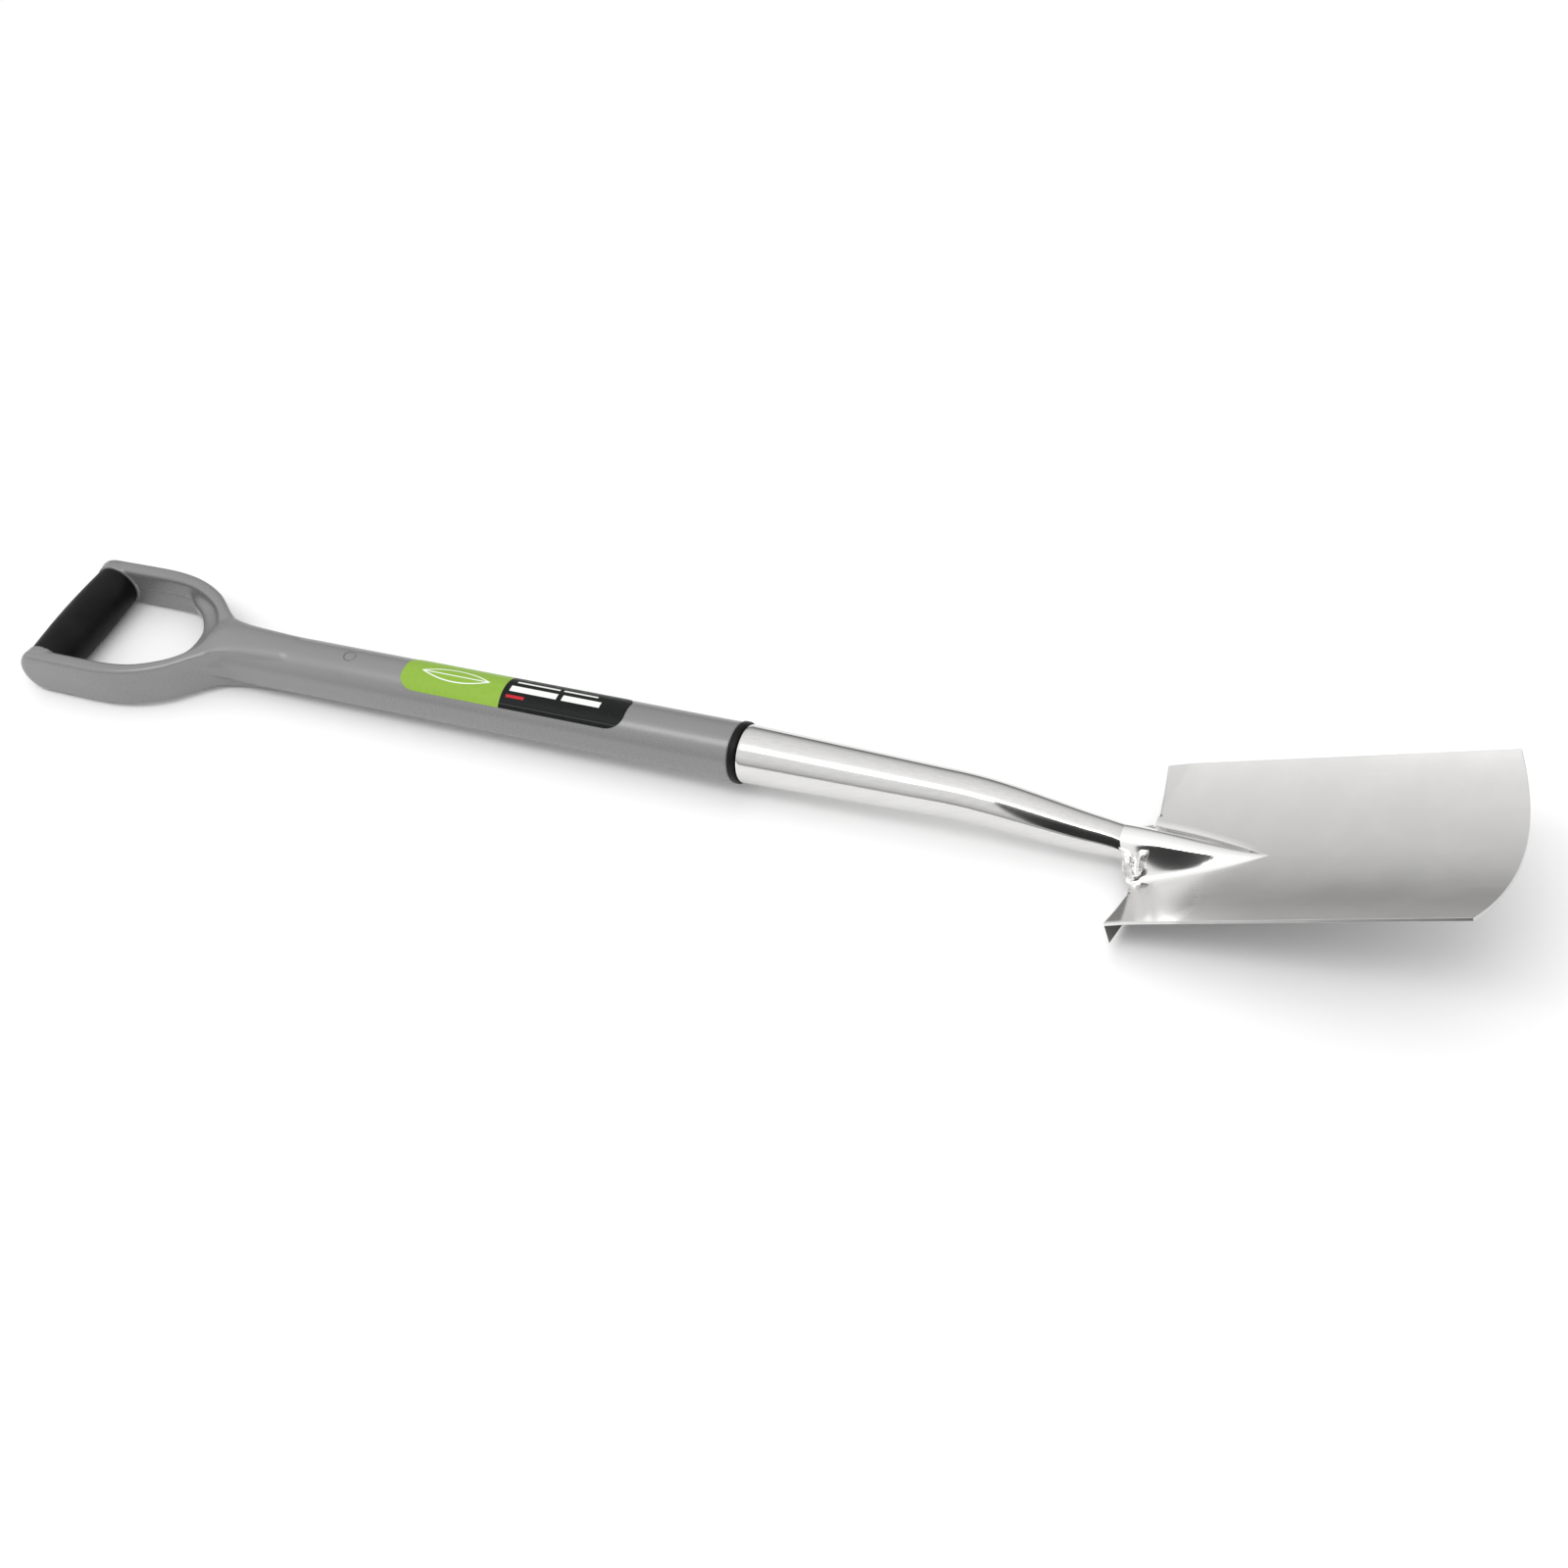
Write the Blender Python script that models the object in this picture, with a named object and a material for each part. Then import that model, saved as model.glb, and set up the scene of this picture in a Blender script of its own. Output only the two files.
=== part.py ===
"""A garden spade: pressed stainless blade, tapered stainless socket, moulded shaft and D-handle.

Metres, +X towards the blade's tip, +Y to the left of someone behind the handle, +Z up.
The spade lies on its back, on the folded treads and on the underside of the D-handle.
"""
import math

import bmesh
import bpy
from mathutils import Matrix, Vector

# Blade: X runs from the folded shoulder to the tip, Z out of its front face
SHEET = 0.002                   # thickness of the pressed sheet
SHOULDER_HALF = 0.0694          # half the width at the shoulder
TIP_HALF = 0.0681               # half the width at the tip's corners
SIDE_LENGTH = 0.2255            # shoulder to the tip's corners
TIP_BOW = 0.0113                # how far the curved tip stands beyond its corners
DISH_SHOULDER = 0.0148          # how far the long edges stand in front of the middle
DISH_TIP = 0.0166
FACET_LENGTH = 0.016            # the shoulder's corners bend back over this length
FACET_DROP = 0.0006

# Frog: the hollow hump that takes the end of the socket
FROG_LENGTH = 0.082
FROG_HEIGHT = 0.0235            # above the blade's middle
FROG_HALF = 0.0280              # half its width at the throat, with the fillets
FROG_DOME = 0.0115              # radius of the rounded top at the throat
FROG_FILLET = 0.0090
FROG_FLANK = math.radians(52)   # slope of the flank
THROAT_LEAN = 0.0058            # the throat's edge leans back over the tube

# Treads: the shoulder folded back, with a relief notch between them and the throat's edge
NOTCH_START = 0.0335
TREAD_START = 0.0355
FOLD_RADIUS = 0.003
FOLD = math.radians(82)         # how far the sheet turns in the fold
FOLD_SPLAY = 0.0019             # the fold's outer end lies this far nearer to the handle
TREAD_DEPTH = 0.0140            # at the notch
TREAD_DEPTH_OUTER = 0.0175      # at the blade's side

# Shaft line: it crosses the shoulder's plane at this height, and lifts from the blade
SHAFT_HEIGHT = 0.0273
LIFT = math.radians(17.28)

# Socket: distances S run from the shoulder along the shaft towards the handle
SOCKET_TOP = 0.2622
SOCKET_TOP_RADIUS = 0.0198
SOCKET_MIDDLE_RADIUS = 0.0160
SOCKET_BEND_START = 0.118       # the tube leaves the shaft line here
SOCKET_BEND_END = 0.004
SOCKET_BEND_DROP = 0.0125
SOCKET_THROAT_RADIUS = 0.0116
SOCKET_WALL = 0.0015
SOCKET_TIP = 0.046              # X where its flattened end stops inside the frog
NESTED_HALF = 0.0098            # half the width of that end at the throat

# Welds: a flat bead on each flank of the frog at the throat, and one across the tube's hidden end
WELD_X = 0.0020                 # X of the bead's middle
WELD_HALF = 0.0062              # half its size along the blade
WELD_THICKNESS = 0.0022
BACK_WELD_HALF = 0.0048

# Moulded shaft and D-handle
SHAFT_RADIUS = 0.0200
SHAFT_FOOT = 0.2678             # its shoulder, against the rubber ring
SPIGOT_FOOT = 0.170             # the spigot reaches down the socket to here
BORE_RADIUS = 0.0135
BORE_TOP = 0.640
SHAFT_ROOT = 0.686              # the round shaft ends inside the fork
HANDLE_DEPTH = 0.0182           # half the depth of the arms
HANDLE_DROP = 0.0010            # the D-handle sits this far below the shaft's axis
HANDLE_RIM = 0.0045             # rounding of the arms' edges
GRIP_S = 0.8092                 # the grip's axis
ARM_INNER = 0.0462              # half the clear width between the arms
CORE_RADIUS = 0.0110
COLLAR_RADIUS = 0.0176
COLLAR_PROUD = 0.0008
# Half outlines of the D-handle, as (S, Y), from the neck to the ends of the arms
OUTER_OUTLINE = ((0.622, 0.0070), (0.645, 0.0106), (0.661, 0.0131), (0.6755, 0.0185), (0.688, 0.0266),
                 (0.698, 0.0354), (0.7077, 0.0428), (0.7224, 0.0502), (0.7397, 0.0552), (0.758, 0.0573),
                 (0.780, 0.0575), (0.805, 0.0573))
THROAT_SWELL = 0.0165           # how far the throat's middle stands into the opening
THROAT_END = 0.750
OPENING_OUTLINE = ((0.689, 0.0), (0.6905, 0.0105), (0.698, 0.0226), (0.7095, 0.0326), (0.728, 0.0417),
                   (0.747, 0.0455), (0.770, 0.0463))

# Soft grip, rubber ring, plug, screw and label
CLEARANCE = 0.0003
GRIP_END_RADIUS = 0.0166
GRIP_MIDDLE_RADIUS = 0.0180
RING_RADIUS = 0.0210
PLUG_S = 0.567
PLUG_RADIUS = 0.0053
SCREW_S = 0.238
SCREW_HEAD_RADIUS = 0.0045
SCREW_SHANK_RADIUS = 0.0019
LABEL_START = 0.347
LABEL_END = 0.5235
LABEL_HALF_ANGLE = math.radians(48)
LABEL_CORNER = 0.013

SIDES = 32                      # sides of the round pieces


def material(name, color, metallic, roughness):
    mat = bpy.data.materials.new(name)
    mat.use_nodes = True
    shader = mat.node_tree.nodes["Principled BSDF"]
    shader.inputs["Base Color"].default_value = (*color, 1)
    shader.inputs["Metallic"].default_value = metallic
    shader.inputs["Roughness"].default_value = roughness
    return mat


def add_object(name, verts, faces, mat, frame, closed=True):
    """One named mesh object in a frame, shaded smooth. A closed one has its faces turned outwards."""
    mesh = bpy.data.meshes.new(name)
    mesh.from_pydata([tuple(v) for v in verts], [], faces)
    if closed:
        work = bmesh.new()
        work.from_mesh(mesh)
        bmesh.ops.recalc_face_normals(work, faces=work.faces)
        work.to_mesh(mesh)
        work.free()
    mesh.shade_smooth()
    mesh.set_sharp_from_angle(angle=math.radians(35))
    obj = bpy.data.objects.new(name, mesh)
    bpy.context.collection.objects.link(obj)
    if mat:
        mesh.materials.append(mat)
    obj.parent = frame
    return obj


def add_cutter(name, verts, faces, frame):
    obj = add_object(name, verts, faces, None, frame)
    obj.hide_render = True
    obj.display_type = "WIRE"
    return obj


def add_empty(name, parent=None, location=(0, 0, 0), turn_y=0.0):
    empty = bpy.data.objects.new(name, None)
    bpy.context.collection.objects.link(empty)
    empty.parent = parent
    empty.location = location
    empty.rotation_euler = (0, turn_y, 0)
    return empty


def boolean(obj, cutter, operation):
    mod = obj.modifiers.new(cutter.name, "BOOLEAN")
    mod.operation = operation
    mod.solver = "EXACT"
    mod.object = cutter


def loft(rings):
    """Vertices and faces of a closed skin over rings of equal count, capped at both ends."""
    count = len(rings[0])
    verts = [point for ring in rings for point in ring]
    faces = []
    for row in range(len(rings) - 1):
        for i in range(count):
            a = row * count + i
            b = row * count + (i + 1) % count
            faces.append((a, b, b + count, a + count))
    faces.append(tuple(reversed(range(count))))
    faces.append(tuple(range(len(verts) - count, len(verts))))
    return verts, faces


def ring_of(center, along, across, half_across, half_up, sides=SIDES):
    """An ellipse square to the direction along, its first axis along across."""
    up = across.cross(along).normalized()
    points = []
    for i in range(sides):
        turn = 2 * math.pi * i / sides
        points.append(center + across * (half_across * math.cos(turn)) + up * (half_up * math.sin(turn)))
    return points


def turned(profile, axis, sides=SIDES):
    """A solid turned about an axis, "X", "Y" or "Z", from (place along it, radius) pairs."""
    along = {"X": Vector((1, 0, 0)), "Y": Vector((0, 1, 0)), "Z": Vector((0, 0, 1))}[axis]
    across = Vector((1, 0, 0)) if axis == "Y" else Vector((0, 1, 0))
    return loft([ring_of(along * place, along, across, radius, radius, sides) for place, radius in profile])


def spline(points, steps):
    """A Catmull-Rom curve through 2-D points, with its first and last point repeated."""
    padded = [Vector(points[0]), *map(Vector, points), Vector(points[-1])]
    curve = []
    for a, b, c, d in zip(padded, padded[1:], padded[2:], padded[3:]):
        for i in range(steps):
            t = i / steps
            curve.append(0.5 * (2 * b + (c - a) * t + (2 * a - 5 * b + 4 * c - d) * t * t
                                + (3 * b - a - 3 * c + d) * t ** 3))
    curve.append(Vector(points[-1]))
    return curve


def prism(outline, low, high, axis):
    """An outline in the XY plane drawn up Z, or in the XZ plane drawn along Y."""
    if axis == "Z":
        rings = [[Vector((p[0], p[1], h)) for p in outline] for h in (low, high)]
    else:
        rings = [[Vector((p[0], h, p[1])) for p in outline] for h in (low, high)]
    return loft(rings)


# ---- blade ----

def half_width(x):
    return SHOULDER_HALF + (TIP_HALF - SHOULDER_HALF) * x / SIDE_LENGTH


def tip_x(y):
    return SIDE_LENGTH + TIP_BOW * (1 - (y / TIP_HALF) ** 2)


def dish_height(x, y):
    """The dished front face, with the facets that bend back towards the folded shoulder."""
    edge = DISH_SHOULDER + (DISH_TIP - DISH_SHOULDER) * x / SIDE_LENGTH
    height = SHEET + edge * (y / half_width(x)) ** 2
    outward = max(0.0, (abs(y) - TREAD_START) / (SHOULDER_HALF - TREAD_START))
    reach = FACET_LENGTH * outward
    if reach > 0 and x < reach:
        height -= FACET_DROP * outward * (1 - x / reach)
    return height


def frog_section(steps_dome=5, steps_fillet=5):
    """Half the frog's section at the throat as (share of its half width, share of its height)."""
    points = []
    lowest = math.pi / 2 - FROG_FLANK
    for i in range(steps_dome + 1):
        turn = math.pi / 2 + (lowest - math.pi / 2) * i / steps_dome
        points.append((FROG_DOME * math.cos(turn), FROG_HEIGHT - FROG_DOME * (1 - math.sin(turn))))
    fillet_drop = FROG_FILLET * (1 - math.cos(FROG_FLANK))
    run = FROG_HALF - FROG_FILLET * math.sin(FROG_FLANK)
    for i in range(steps_fillet + 1):
        slope = FROG_FLANK * (1 - i / steps_fillet)
        y = run + FROG_FILLET * (math.sin(FROG_FLANK) - math.sin(slope))
        points.append((y, fillet_drop - FROG_FILLET * (math.cos(slope) - math.cos(FROG_FLANK))))
    return [(y / FROG_HALF, z / FROG_HEIGHT) for y, z in points]


def frog_scale(x):
    """The frog's half width and height at x, as shares of those at the throat."""
    left = max(0.0, 1 - x / FROG_LENGTH)
    return left ** 0.6, left ** 1.8 * (1 + 0.8 * (1 - left))


def ridge_height(x):
    return SHEET + FROG_HEIGHT * frog_scale(x)[1]


def blade_columns():
    """Across the blade: frog columns as (share, height share), then plain ones to the side."""
    section = frog_section()
    outside = [(y - FROG_HALF) / (SHOULDER_HALF - FROG_HALF) for y in (NOTCH_START, TREAD_START)]
    outside += [outside[-1] + (1 - outside[-1]) * i / 5 for i in range(1, 6)]
    half = [("frog", y, z) for y, z in section] + [("plain", share, 0.0) for share in outside]
    mirrored = [(kind, -share, z) for kind, share, z in reversed(half[1:])]
    return mirrored + half


def front_point(x, column):
    """A point of the front face on one of the columns that run from the shoulder to the tip."""
    kind, share, height_share = column
    wide, high = frog_scale(x)
    narrow = max(wide, 0.05)
    side = math.copysign(1, share)
    if kind == "frog":
        y = share * FROG_HALF * narrow
    else:
        edge = FROG_HALF * narrow
        y = side * (edge + (half_width(x) - edge) * abs(share))
    x -= FOLD_SPLAY * max(0.0, tread_share(y)) * max(0.0, 1 - x / FROG_LENGTH)
    x += (tip_x(y) - SIDE_LENGTH) * max(0.0, x / SIDE_LENGTH) ** 3
    return Vector((x, y, dish_height(x, y) + height_share * FROG_HEIGHT * high))


def blade_rows():
    """Places along the blade from the fold to the tip, close together over the frog."""
    frog_rows, plain_rows = 14, 8
    step = (FROG_LENGTH - FOLD_RADIUS) / frog_rows
    rows = [FOLD_RADIUS + step * i for i in range(frog_rows)]
    plain = (SIDE_LENGTH - FROG_LENGTH) / plain_rows
    return rows + [FROG_LENGTH + plain * i for i in range(plain_rows + 1)]


def make_blade(frame, steel):
    columns = blade_columns()
    count = len(columns)
    grid = [[front_point(x, column) for column in columns] for x in blade_rows()]
    verts = [p for row in grid for p in row]
    faces = []
    for row in range(len(grid) - 1):
        for i in range(count - 1):
            a = row * count + i
            faces.append((a, a + count, a + count + 1, a + 1))
    throat = [i for i, p in enumerate(grid[0]) if abs(p.y) < (NOTCH_START + TREAD_START) / 2]
    add_throat_row(verts, faces, columns, throat)
    for tread in (range(0, throat[0]), range(throat[-1] + 1, count)):
        add_tread(verts, faces, list(tread))
    obj = add_object("blade", verts, faces, steel, frame, closed=False)
    thick = obj.modifiers.new("sheet", "SOLIDIFY")
    thick.thickness = SHEET
    thick.offset = -1
    thick.use_even_offset = True
    return obj


def add_throat_row(verts, faces, columns, throat):
    """The frog's free edge starts on the line of the folded shoulder and leans back over the tube."""
    start = len(verts)
    for i in throat:
        verts.append(front_point(-THROAT_LEAN * smooth(4 * columns[i][2]), columns[i]))
    for k in range(len(throat) - 1):
        faces.append((start + k, throat[k], throat[k + 1], start + k + 1))


def tread_share(y):
    return (abs(y) - TREAD_START) / (SHOULDER_HALF - TREAD_START)


def splay_at_fold(y):
    return FOLD_SPLAY * tread_share(y) * (1 - FOLD_RADIUS / FROG_LENGTH)


def tread_chord(y):
    """Height of the straight line between the ends of the fold, which makes the tread flat."""
    inner, outer = (dish_height(FOLD_RADIUS, end) for end in (TREAD_START, SHOULDER_HALF))
    return inner + (outer - inner) * tread_share(y)


def tread_edge(y):
    """A point of the tread's free edge, on its outer face."""
    depth = TREAD_DEPTH + (TREAD_DEPTH_OUTER - TREAD_DEPTH) * tread_share(y)
    lean = (depth - FOLD_RADIUS * (1 - math.cos(FOLD))) / math.tan(FOLD)
    face = FOLD_RADIUS * (1 - math.sin(FOLD)) - splay_at_fold(y)
    return Vector((face - lean, y, tread_chord(y) - depth))


def add_tread(verts, faces, across):
    """A flange folded back from the shoulder, over the given columns of the first row."""
    top = [verts[i].copy() for i in across]
    lines = []
    steps = 3
    for i in range(1, steps + 1):
        turn = FOLD * i / steps
        line = []
        for p in top:
            bulge = (p.z - tread_chord(p.y)) / math.tan(FOLD) * i / steps
            x = p.x - FOLD_RADIUS * math.sin(turn) + bulge
            line.append(Vector((x, p.y, p.z - FOLD_RADIUS * (1 - math.cos(turn)))))
        lines.append(line)
    lines.append([tread_edge(p.y) for p in top])
    before = across
    for line in lines:
        after = list(range(len(verts), len(verts) + len(line)))
        verts.extend(line)
        for k in range(len(line) - 1):
            faces.append((after[k], before[k], before[k + 1], after[k + 1]))
        before = after


# ---- socket, in the blade's frame ----

def smooth(t):
    t = min(1.0, max(0.0, t))
    return t * t * (3 - 2 * t)


def shaft_point(s, up=0.0):
    """A point on the shaft line at distance s from the shoulder, raised by up, in the blade's frame."""
    along = Vector((-math.cos(LIFT), 0, math.sin(LIFT)))
    rise = Vector((math.sin(LIFT), 0, math.cos(LIFT)))
    return Vector((0, 0, SHAFT_HEIGHT)) + along * s + rise * up


def socket_center(s):
    t = (SOCKET_BEND_START - s) / (SOCKET_BEND_START - SOCKET_BEND_END)
    return shaft_point(s, -SOCKET_BEND_DROP * smooth(t))


def socket_radius(s):
    """A straight taper to the bend, then a slower one to the throat."""
    if s > SOCKET_BEND_START:
        share = (s - SOCKET_BEND_START) / (SOCKET_TOP - SOCKET_BEND_START)
        return SOCKET_MIDDLE_RADIUS + (SOCKET_TOP_RADIUS - SOCKET_MIDDLE_RADIUS) * share
    share = ((SOCKET_BEND_START - s) / (SOCKET_BEND_START - 0.012)) ** 1.7
    return SOCKET_MIDDLE_RADIUS + (SOCKET_THROAT_RADIUS - SOCKET_MIDDLE_RADIUS) * share


def nested_ring(x, inset):
    """The flattened end of the tube under the frog: top on the frog's underside, bottom level."""
    top = ridge_height(x) - SHEET * 1.15 - CLEARANCE
    bottom = 0.0048 * (1 - x / SOCKET_TIP) - 0.0016
    half_across = NESTED_HALF * frog_scale(x)[0] ** 1.6 - inset
    center = Vector((x, 0, (top + bottom) / 2))
    along = Vector((1, 0, 0))
    return ring_of(center, along, Vector((0, 1, 0)), half_across, (top - bottom) / 2 - inset)


def socket_ring_at(s, inset):
    step = 0.002
    along = (socket_center(s - step) - socket_center(s + step)).normalized()
    radius = socket_radius(s) - inset
    return ring_of(socket_center(s), along, Vector((0, 1, 0)), radius, radius)


def make_socket(frame, steel):
    last = 0.021
    bend = [SOCKET_BEND_START + (last - SOCKET_BEND_START) * i / 9 for i in range(10)]
    places = [SOCKET_TOP, 0.190, *bend]
    nested = [-0.0080, 0.003, 0.013, 0.024, 0.035, SOCKET_TIP]
    outer = [socket_ring_at(s, 0) for s in places] + [nested_ring(x, 0) for x in nested]
    inner = [socket_ring_at(s, SOCKET_WALL) for s in places]
    inner += [nested_ring(x, SOCKET_WALL) for x in nested[:3]]
    verts, faces = loft(list(reversed(inner)) + outer)
    obj = add_object("socket", verts, faces, steel, frame)
    boolean(obj, screw_hole(frame, "socket_screw_hole", 0.0160, 0.0215), "DIFFERENCE")
    return obj


def flank_point(x, across):
    """A point of the frog's left flank: across runs from 0 below its dome to 1 in its fillet."""
    section = [("frog", y, z) for y, z in frog_section()]
    place = 5.1 + 3.0 * across
    low = min(int(place), len(section) - 2)
    return front_point(x, section[low]).lerp(front_point(x, section[low + 1]), place - low)


def flank_weld_ring(across, side):
    """A flat ellipse of the bead that lies on the flank, 0.3 mm clear of the sheet."""
    step = 0.001
    along = (flank_point(WELD_X + step, across) - flank_point(WELD_X - step, across)).normalized()
    down = (flank_point(WELD_X, across + step) - flank_point(WELD_X, across - step)).normalized()
    out = along.cross(down).normalized()
    share = math.sqrt(max(0.02, 1 - (2 * across - 1) ** 2))
    thick = WELD_THICKNESS / 2 * share
    center = flank_point(WELD_X, across) + out * (1.6 * CLEARANCE + thick)
    ring = ring_of(center, out.cross(along), along, WELD_HALF * share, thick, 12)
    return [Vector((p.x, side * p.y, p.z)) for p in ring]


def make_welds(frame, steel):
    for name, side in (("weld_bead_left", 1), ("weld_bead_right", -1)):
        rings = [flank_weld_ring(i / 10, side) for i in range(11)]
        add_object(name, *loft(rings), steel, frame)
    rings = []
    for i in range(9):
        share = i / 4 - 1
        center = Vector((SOCKET_TIP + 0.0021, BACK_WELD_HALF * share, 0.0006))
        radius = 0.0013 * math.sqrt(1.1 - share * share)
        rings.append(ring_of(center, Vector((0, 1, 0)), Vector((1, 0, 0)), radius, radius * 1.3, 8))
    add_object("weld_bead_back", *loft(rings), steel, frame)


# ---- moulded shaft and D-handle: X = -S in the shaft's frame ----

def mirrored_outline(half):
    """A closed outline from one half, given as (S, Y), turned to X = -S."""
    near = [(-s, -y) for s, y in reversed(half) if y > 0]
    return [(-s, y) for s, y in half] + near


def moved_outline(outline, distance):
    """A closed outline moved outwards along its own normals."""
    turns = sum(a[0] * b[1] - b[0] * a[1] for a, b in zip(outline, outline[1:] + outline[:1]))
    side = distance if turns > 0 else -distance
    moved = []
    for before, point, after in zip(outline[-1:] + outline[:-1], outline, outline[1:] + outline[:1]):
        run = Vector((after[0] - before[0], after[1] - before[1])).normalized()
        moved.append((point[0] + run.y * side, point[1] - run.x * side))
    return moved


def rim_levels(steps=3):
    """Heights above the handle's middle, and how far the rounded rim has turned in there."""
    levels = []
    for i in range(steps + 1):
        turn = math.pi / 2 * i / steps
        levels.append((HANDLE_DEPTH - HANDLE_RIM * (1 - math.sin(turn)), HANDLE_RIM * (1 - math.cos(turn))))
    return levels


def stacked(outline_at, levels):
    """A solid from one outline at each level and its mirror below the handle's middle."""
    rings = []
    for height, inset in [(-h, d) for h, d in reversed(levels)] + levels:
        rings.append([Vector((x, y, height - HANDLE_DROP)) for x, y in outline_at(abs(height), inset)])
    return loft(rings)


def handle_outline():
    """The D-handle in plan, filled between the arms."""
    half = spline(OUTER_OUTLINE, 3)
    end = GRIP_S + HANDLE_DEPTH
    corner = 0.004
    arc = [(end - corner + corner * math.sin(a), OUTER_OUTLINE[-1][1] - corner + corner * math.cos(a))
           for a in (0, math.pi / 6, math.pi / 3, math.pi / 2)]
    return mirrored_outline([tuple(p) for p in half] + arc)


def opening_outline(height):
    """The finger opening at a height from the handle's middle: its throat swells into the opening there."""
    flat, rim_start = 0.004, HANDLE_DEPTH - HANDLE_RIM
    swell = THROAT_SWELL * smooth((rim_start - height) / (rim_start - flat))
    half = []
    for s, y in spline(OPENING_OUTLINE, 3):
        half.append((s + swell * smooth((THROAT_END - s) / 0.040), y))
    return mirrored_outline(half + [(GRIP_S + 2 * HANDLE_DEPTH, ARM_INNER)])


def side_outline():
    """The handle from the side: a bar whose end is a half circle about the grip's axis."""
    neck = 0.600
    arc = []
    for i in range(13):
        turn = math.pi / 2 + math.pi * i / 12
        arc.append((-GRIP_S + HANDLE_DEPTH * math.cos(turn), HANDLE_DEPTH * math.sin(turn) - HANDLE_DROP))
    return [(-neck, HANDLE_DEPTH - HANDLE_DROP), *arc, (-neck, -HANDLE_DEPTH - HANDLE_DROP)]


def shaft_profile():
    """The round part from the spigot's foot to its domed end inside the fork."""
    spigot_top = socket_radius(SOCKET_TOP) - SOCKET_WALL - CLEARANCE
    spigot_foot = socket_radius(SPIGOT_FOOT) - SOCKET_WALL - CLEARANCE
    profile = [(-SHAFT_ROOT, 0.011), (-SHAFT_ROOT + 0.006, 0.0165), (-SHAFT_ROOT + 0.016, 0.0192),
               (-SHAFT_ROOT + 0.030, SHAFT_RADIUS), (-SHAFT_FOOT, SHAFT_RADIUS), (-SHAFT_FOOT, spigot_top),
               (-SPIGOT_FOOT - 0.003, spigot_foot + 0.0001), (-SPIGOT_FOOT, spigot_foot - 0.002)]
    return profile


def screw_hole(frame, name, low, high):
    """A hole cutter on the underside of the socket, at the screw, across the shaft line."""
    radius = SCREW_SHANK_RADIUS + CLEARANCE
    cutter = add_cutter(name, *turned([(-high, radius), (-low, radius)], "Z", 12), frame)
    if frame.name == "blade_frame":
        cutter.location = shaft_point(SCREW_S)
        cutter.rotation_euler = (0, LIFT, 0)
    else:
        cutter.location = (-SCREW_S, 0, 0)
    return cutter


def make_shaft_handle(frame, plastic):
    outline = handle_outline()
    plate = stacked(lambda height, inset: moved_outline(outline, -inset), rim_levels())
    obj = add_object("shaft_handle", *plate, plastic, frame)
    boolean(obj, add_cutter("handle_side", *prism(side_outline(), -0.07, 0.07, "Y"), frame), "INTERSECT")
    levels = [(height, 0.0) for height in (0.004, 0.007, 0.010)] + rim_levels()
    levels.append((HANDLE_DEPTH + 0.010, HANDLE_RIM))
    opening = stacked(lambda height, inset: moved_outline(opening_outline(height), inset), levels)
    boolean(obj, add_cutter("handle_opening", *opening, frame), "DIFFERENCE")
    boolean(obj, add_cutter("shaft_round", *turned(shaft_profile(), "X"), frame), "UNION")
    core = [(-ARM_INNER - 0.004, COLLAR_RADIUS), (-ARM_INNER + COLLAR_PROUD, COLLAR_RADIUS),
            (-ARM_INNER + COLLAR_PROUD, CORE_RADIUS), (ARM_INNER - COLLAR_PROUD, CORE_RADIUS),
            (ARM_INNER - COLLAR_PROUD, COLLAR_RADIUS), (ARM_INNER + 0.004, COLLAR_RADIUS)]
    bar = add_cutter("grip_core", *turned(core, "Y"), frame)
    bar.location = (-GRIP_S, 0, -HANDLE_DROP)
    boolean(obj, bar, "UNION")
    bore = [(-BORE_TOP, 0.004), (-BORE_TOP + 0.012, BORE_RADIUS), (-SPIGOT_FOOT + 0.01, BORE_RADIUS)]
    boolean(obj, add_cutter("shaft_bore", *turned(bore, "X", 24), frame), "DIFFERENCE")
    hole_radius = PLUG_RADIUS + CLEARANCE
    hole = add_cutter("plug_hole", *turned([(0.010, hole_radius), (0.024, hole_radius)], "Z", 16), frame)
    hole.location = (-PLUG_S, 0, 0)
    boolean(obj, hole, "DIFFERENCE")
    boolean(obj, screw_hole(frame, "spigot_screw_hole", 0.0105, 0.0215), "DIFFERENCE")
    return obj


def make_grip(frame, rubber):
    end = ARM_INNER - COLLAR_PROUD - CLEARANCE
    steps = 10
    outer = []
    for i in range(steps + 1):
        y = end * (2 * i / steps - 1)
        swell = (GRIP_MIDDLE_RADIUS - GRIP_END_RADIUS) * math.cos(math.pi / 2 * y / end)
        outer.append((y, GRIP_END_RADIUS + swell))
    inner_radius = CORE_RADIUS + CLEARANCE
    profile = outer + [(end, inner_radius), (-end, inner_radius)]
    obj = add_object("soft_grip", *closed_turning(profile, "Y"), rubber, frame)
    obj.location = (-GRIP_S, 0, -HANDLE_DROP)
    return obj


def closed_turning(profile, axis, sides=SIDES):
    """A tube turned from a closed profile, so it keeps its hole."""
    verts, faces = turned(profile, axis, sides)
    faces = faces[:-2]
    last = len(profile) - 1
    for i in range(sides):
        j = (i + 1) % sides
        faces.append((last * sides + i, last * sides + j, j, i))
    return verts, faces


def make_ring(frame, rubber):
    low = -SHAFT_FOOT + CLEARANCE
    high = -SOCKET_TOP - CLEARANCE
    inner = socket_radius(SOCKET_TOP) - SOCKET_WALL + CLEARANCE
    edge = 0.0008
    profile = [(low, inner), (low, RING_RADIUS - edge), (low + edge, RING_RADIUS),
               (high - edge, RING_RADIUS), (high, RING_RADIUS - edge), (high, inner)]
    return add_object("socket_ring", *closed_turning(profile, "X"), rubber, frame)


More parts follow.
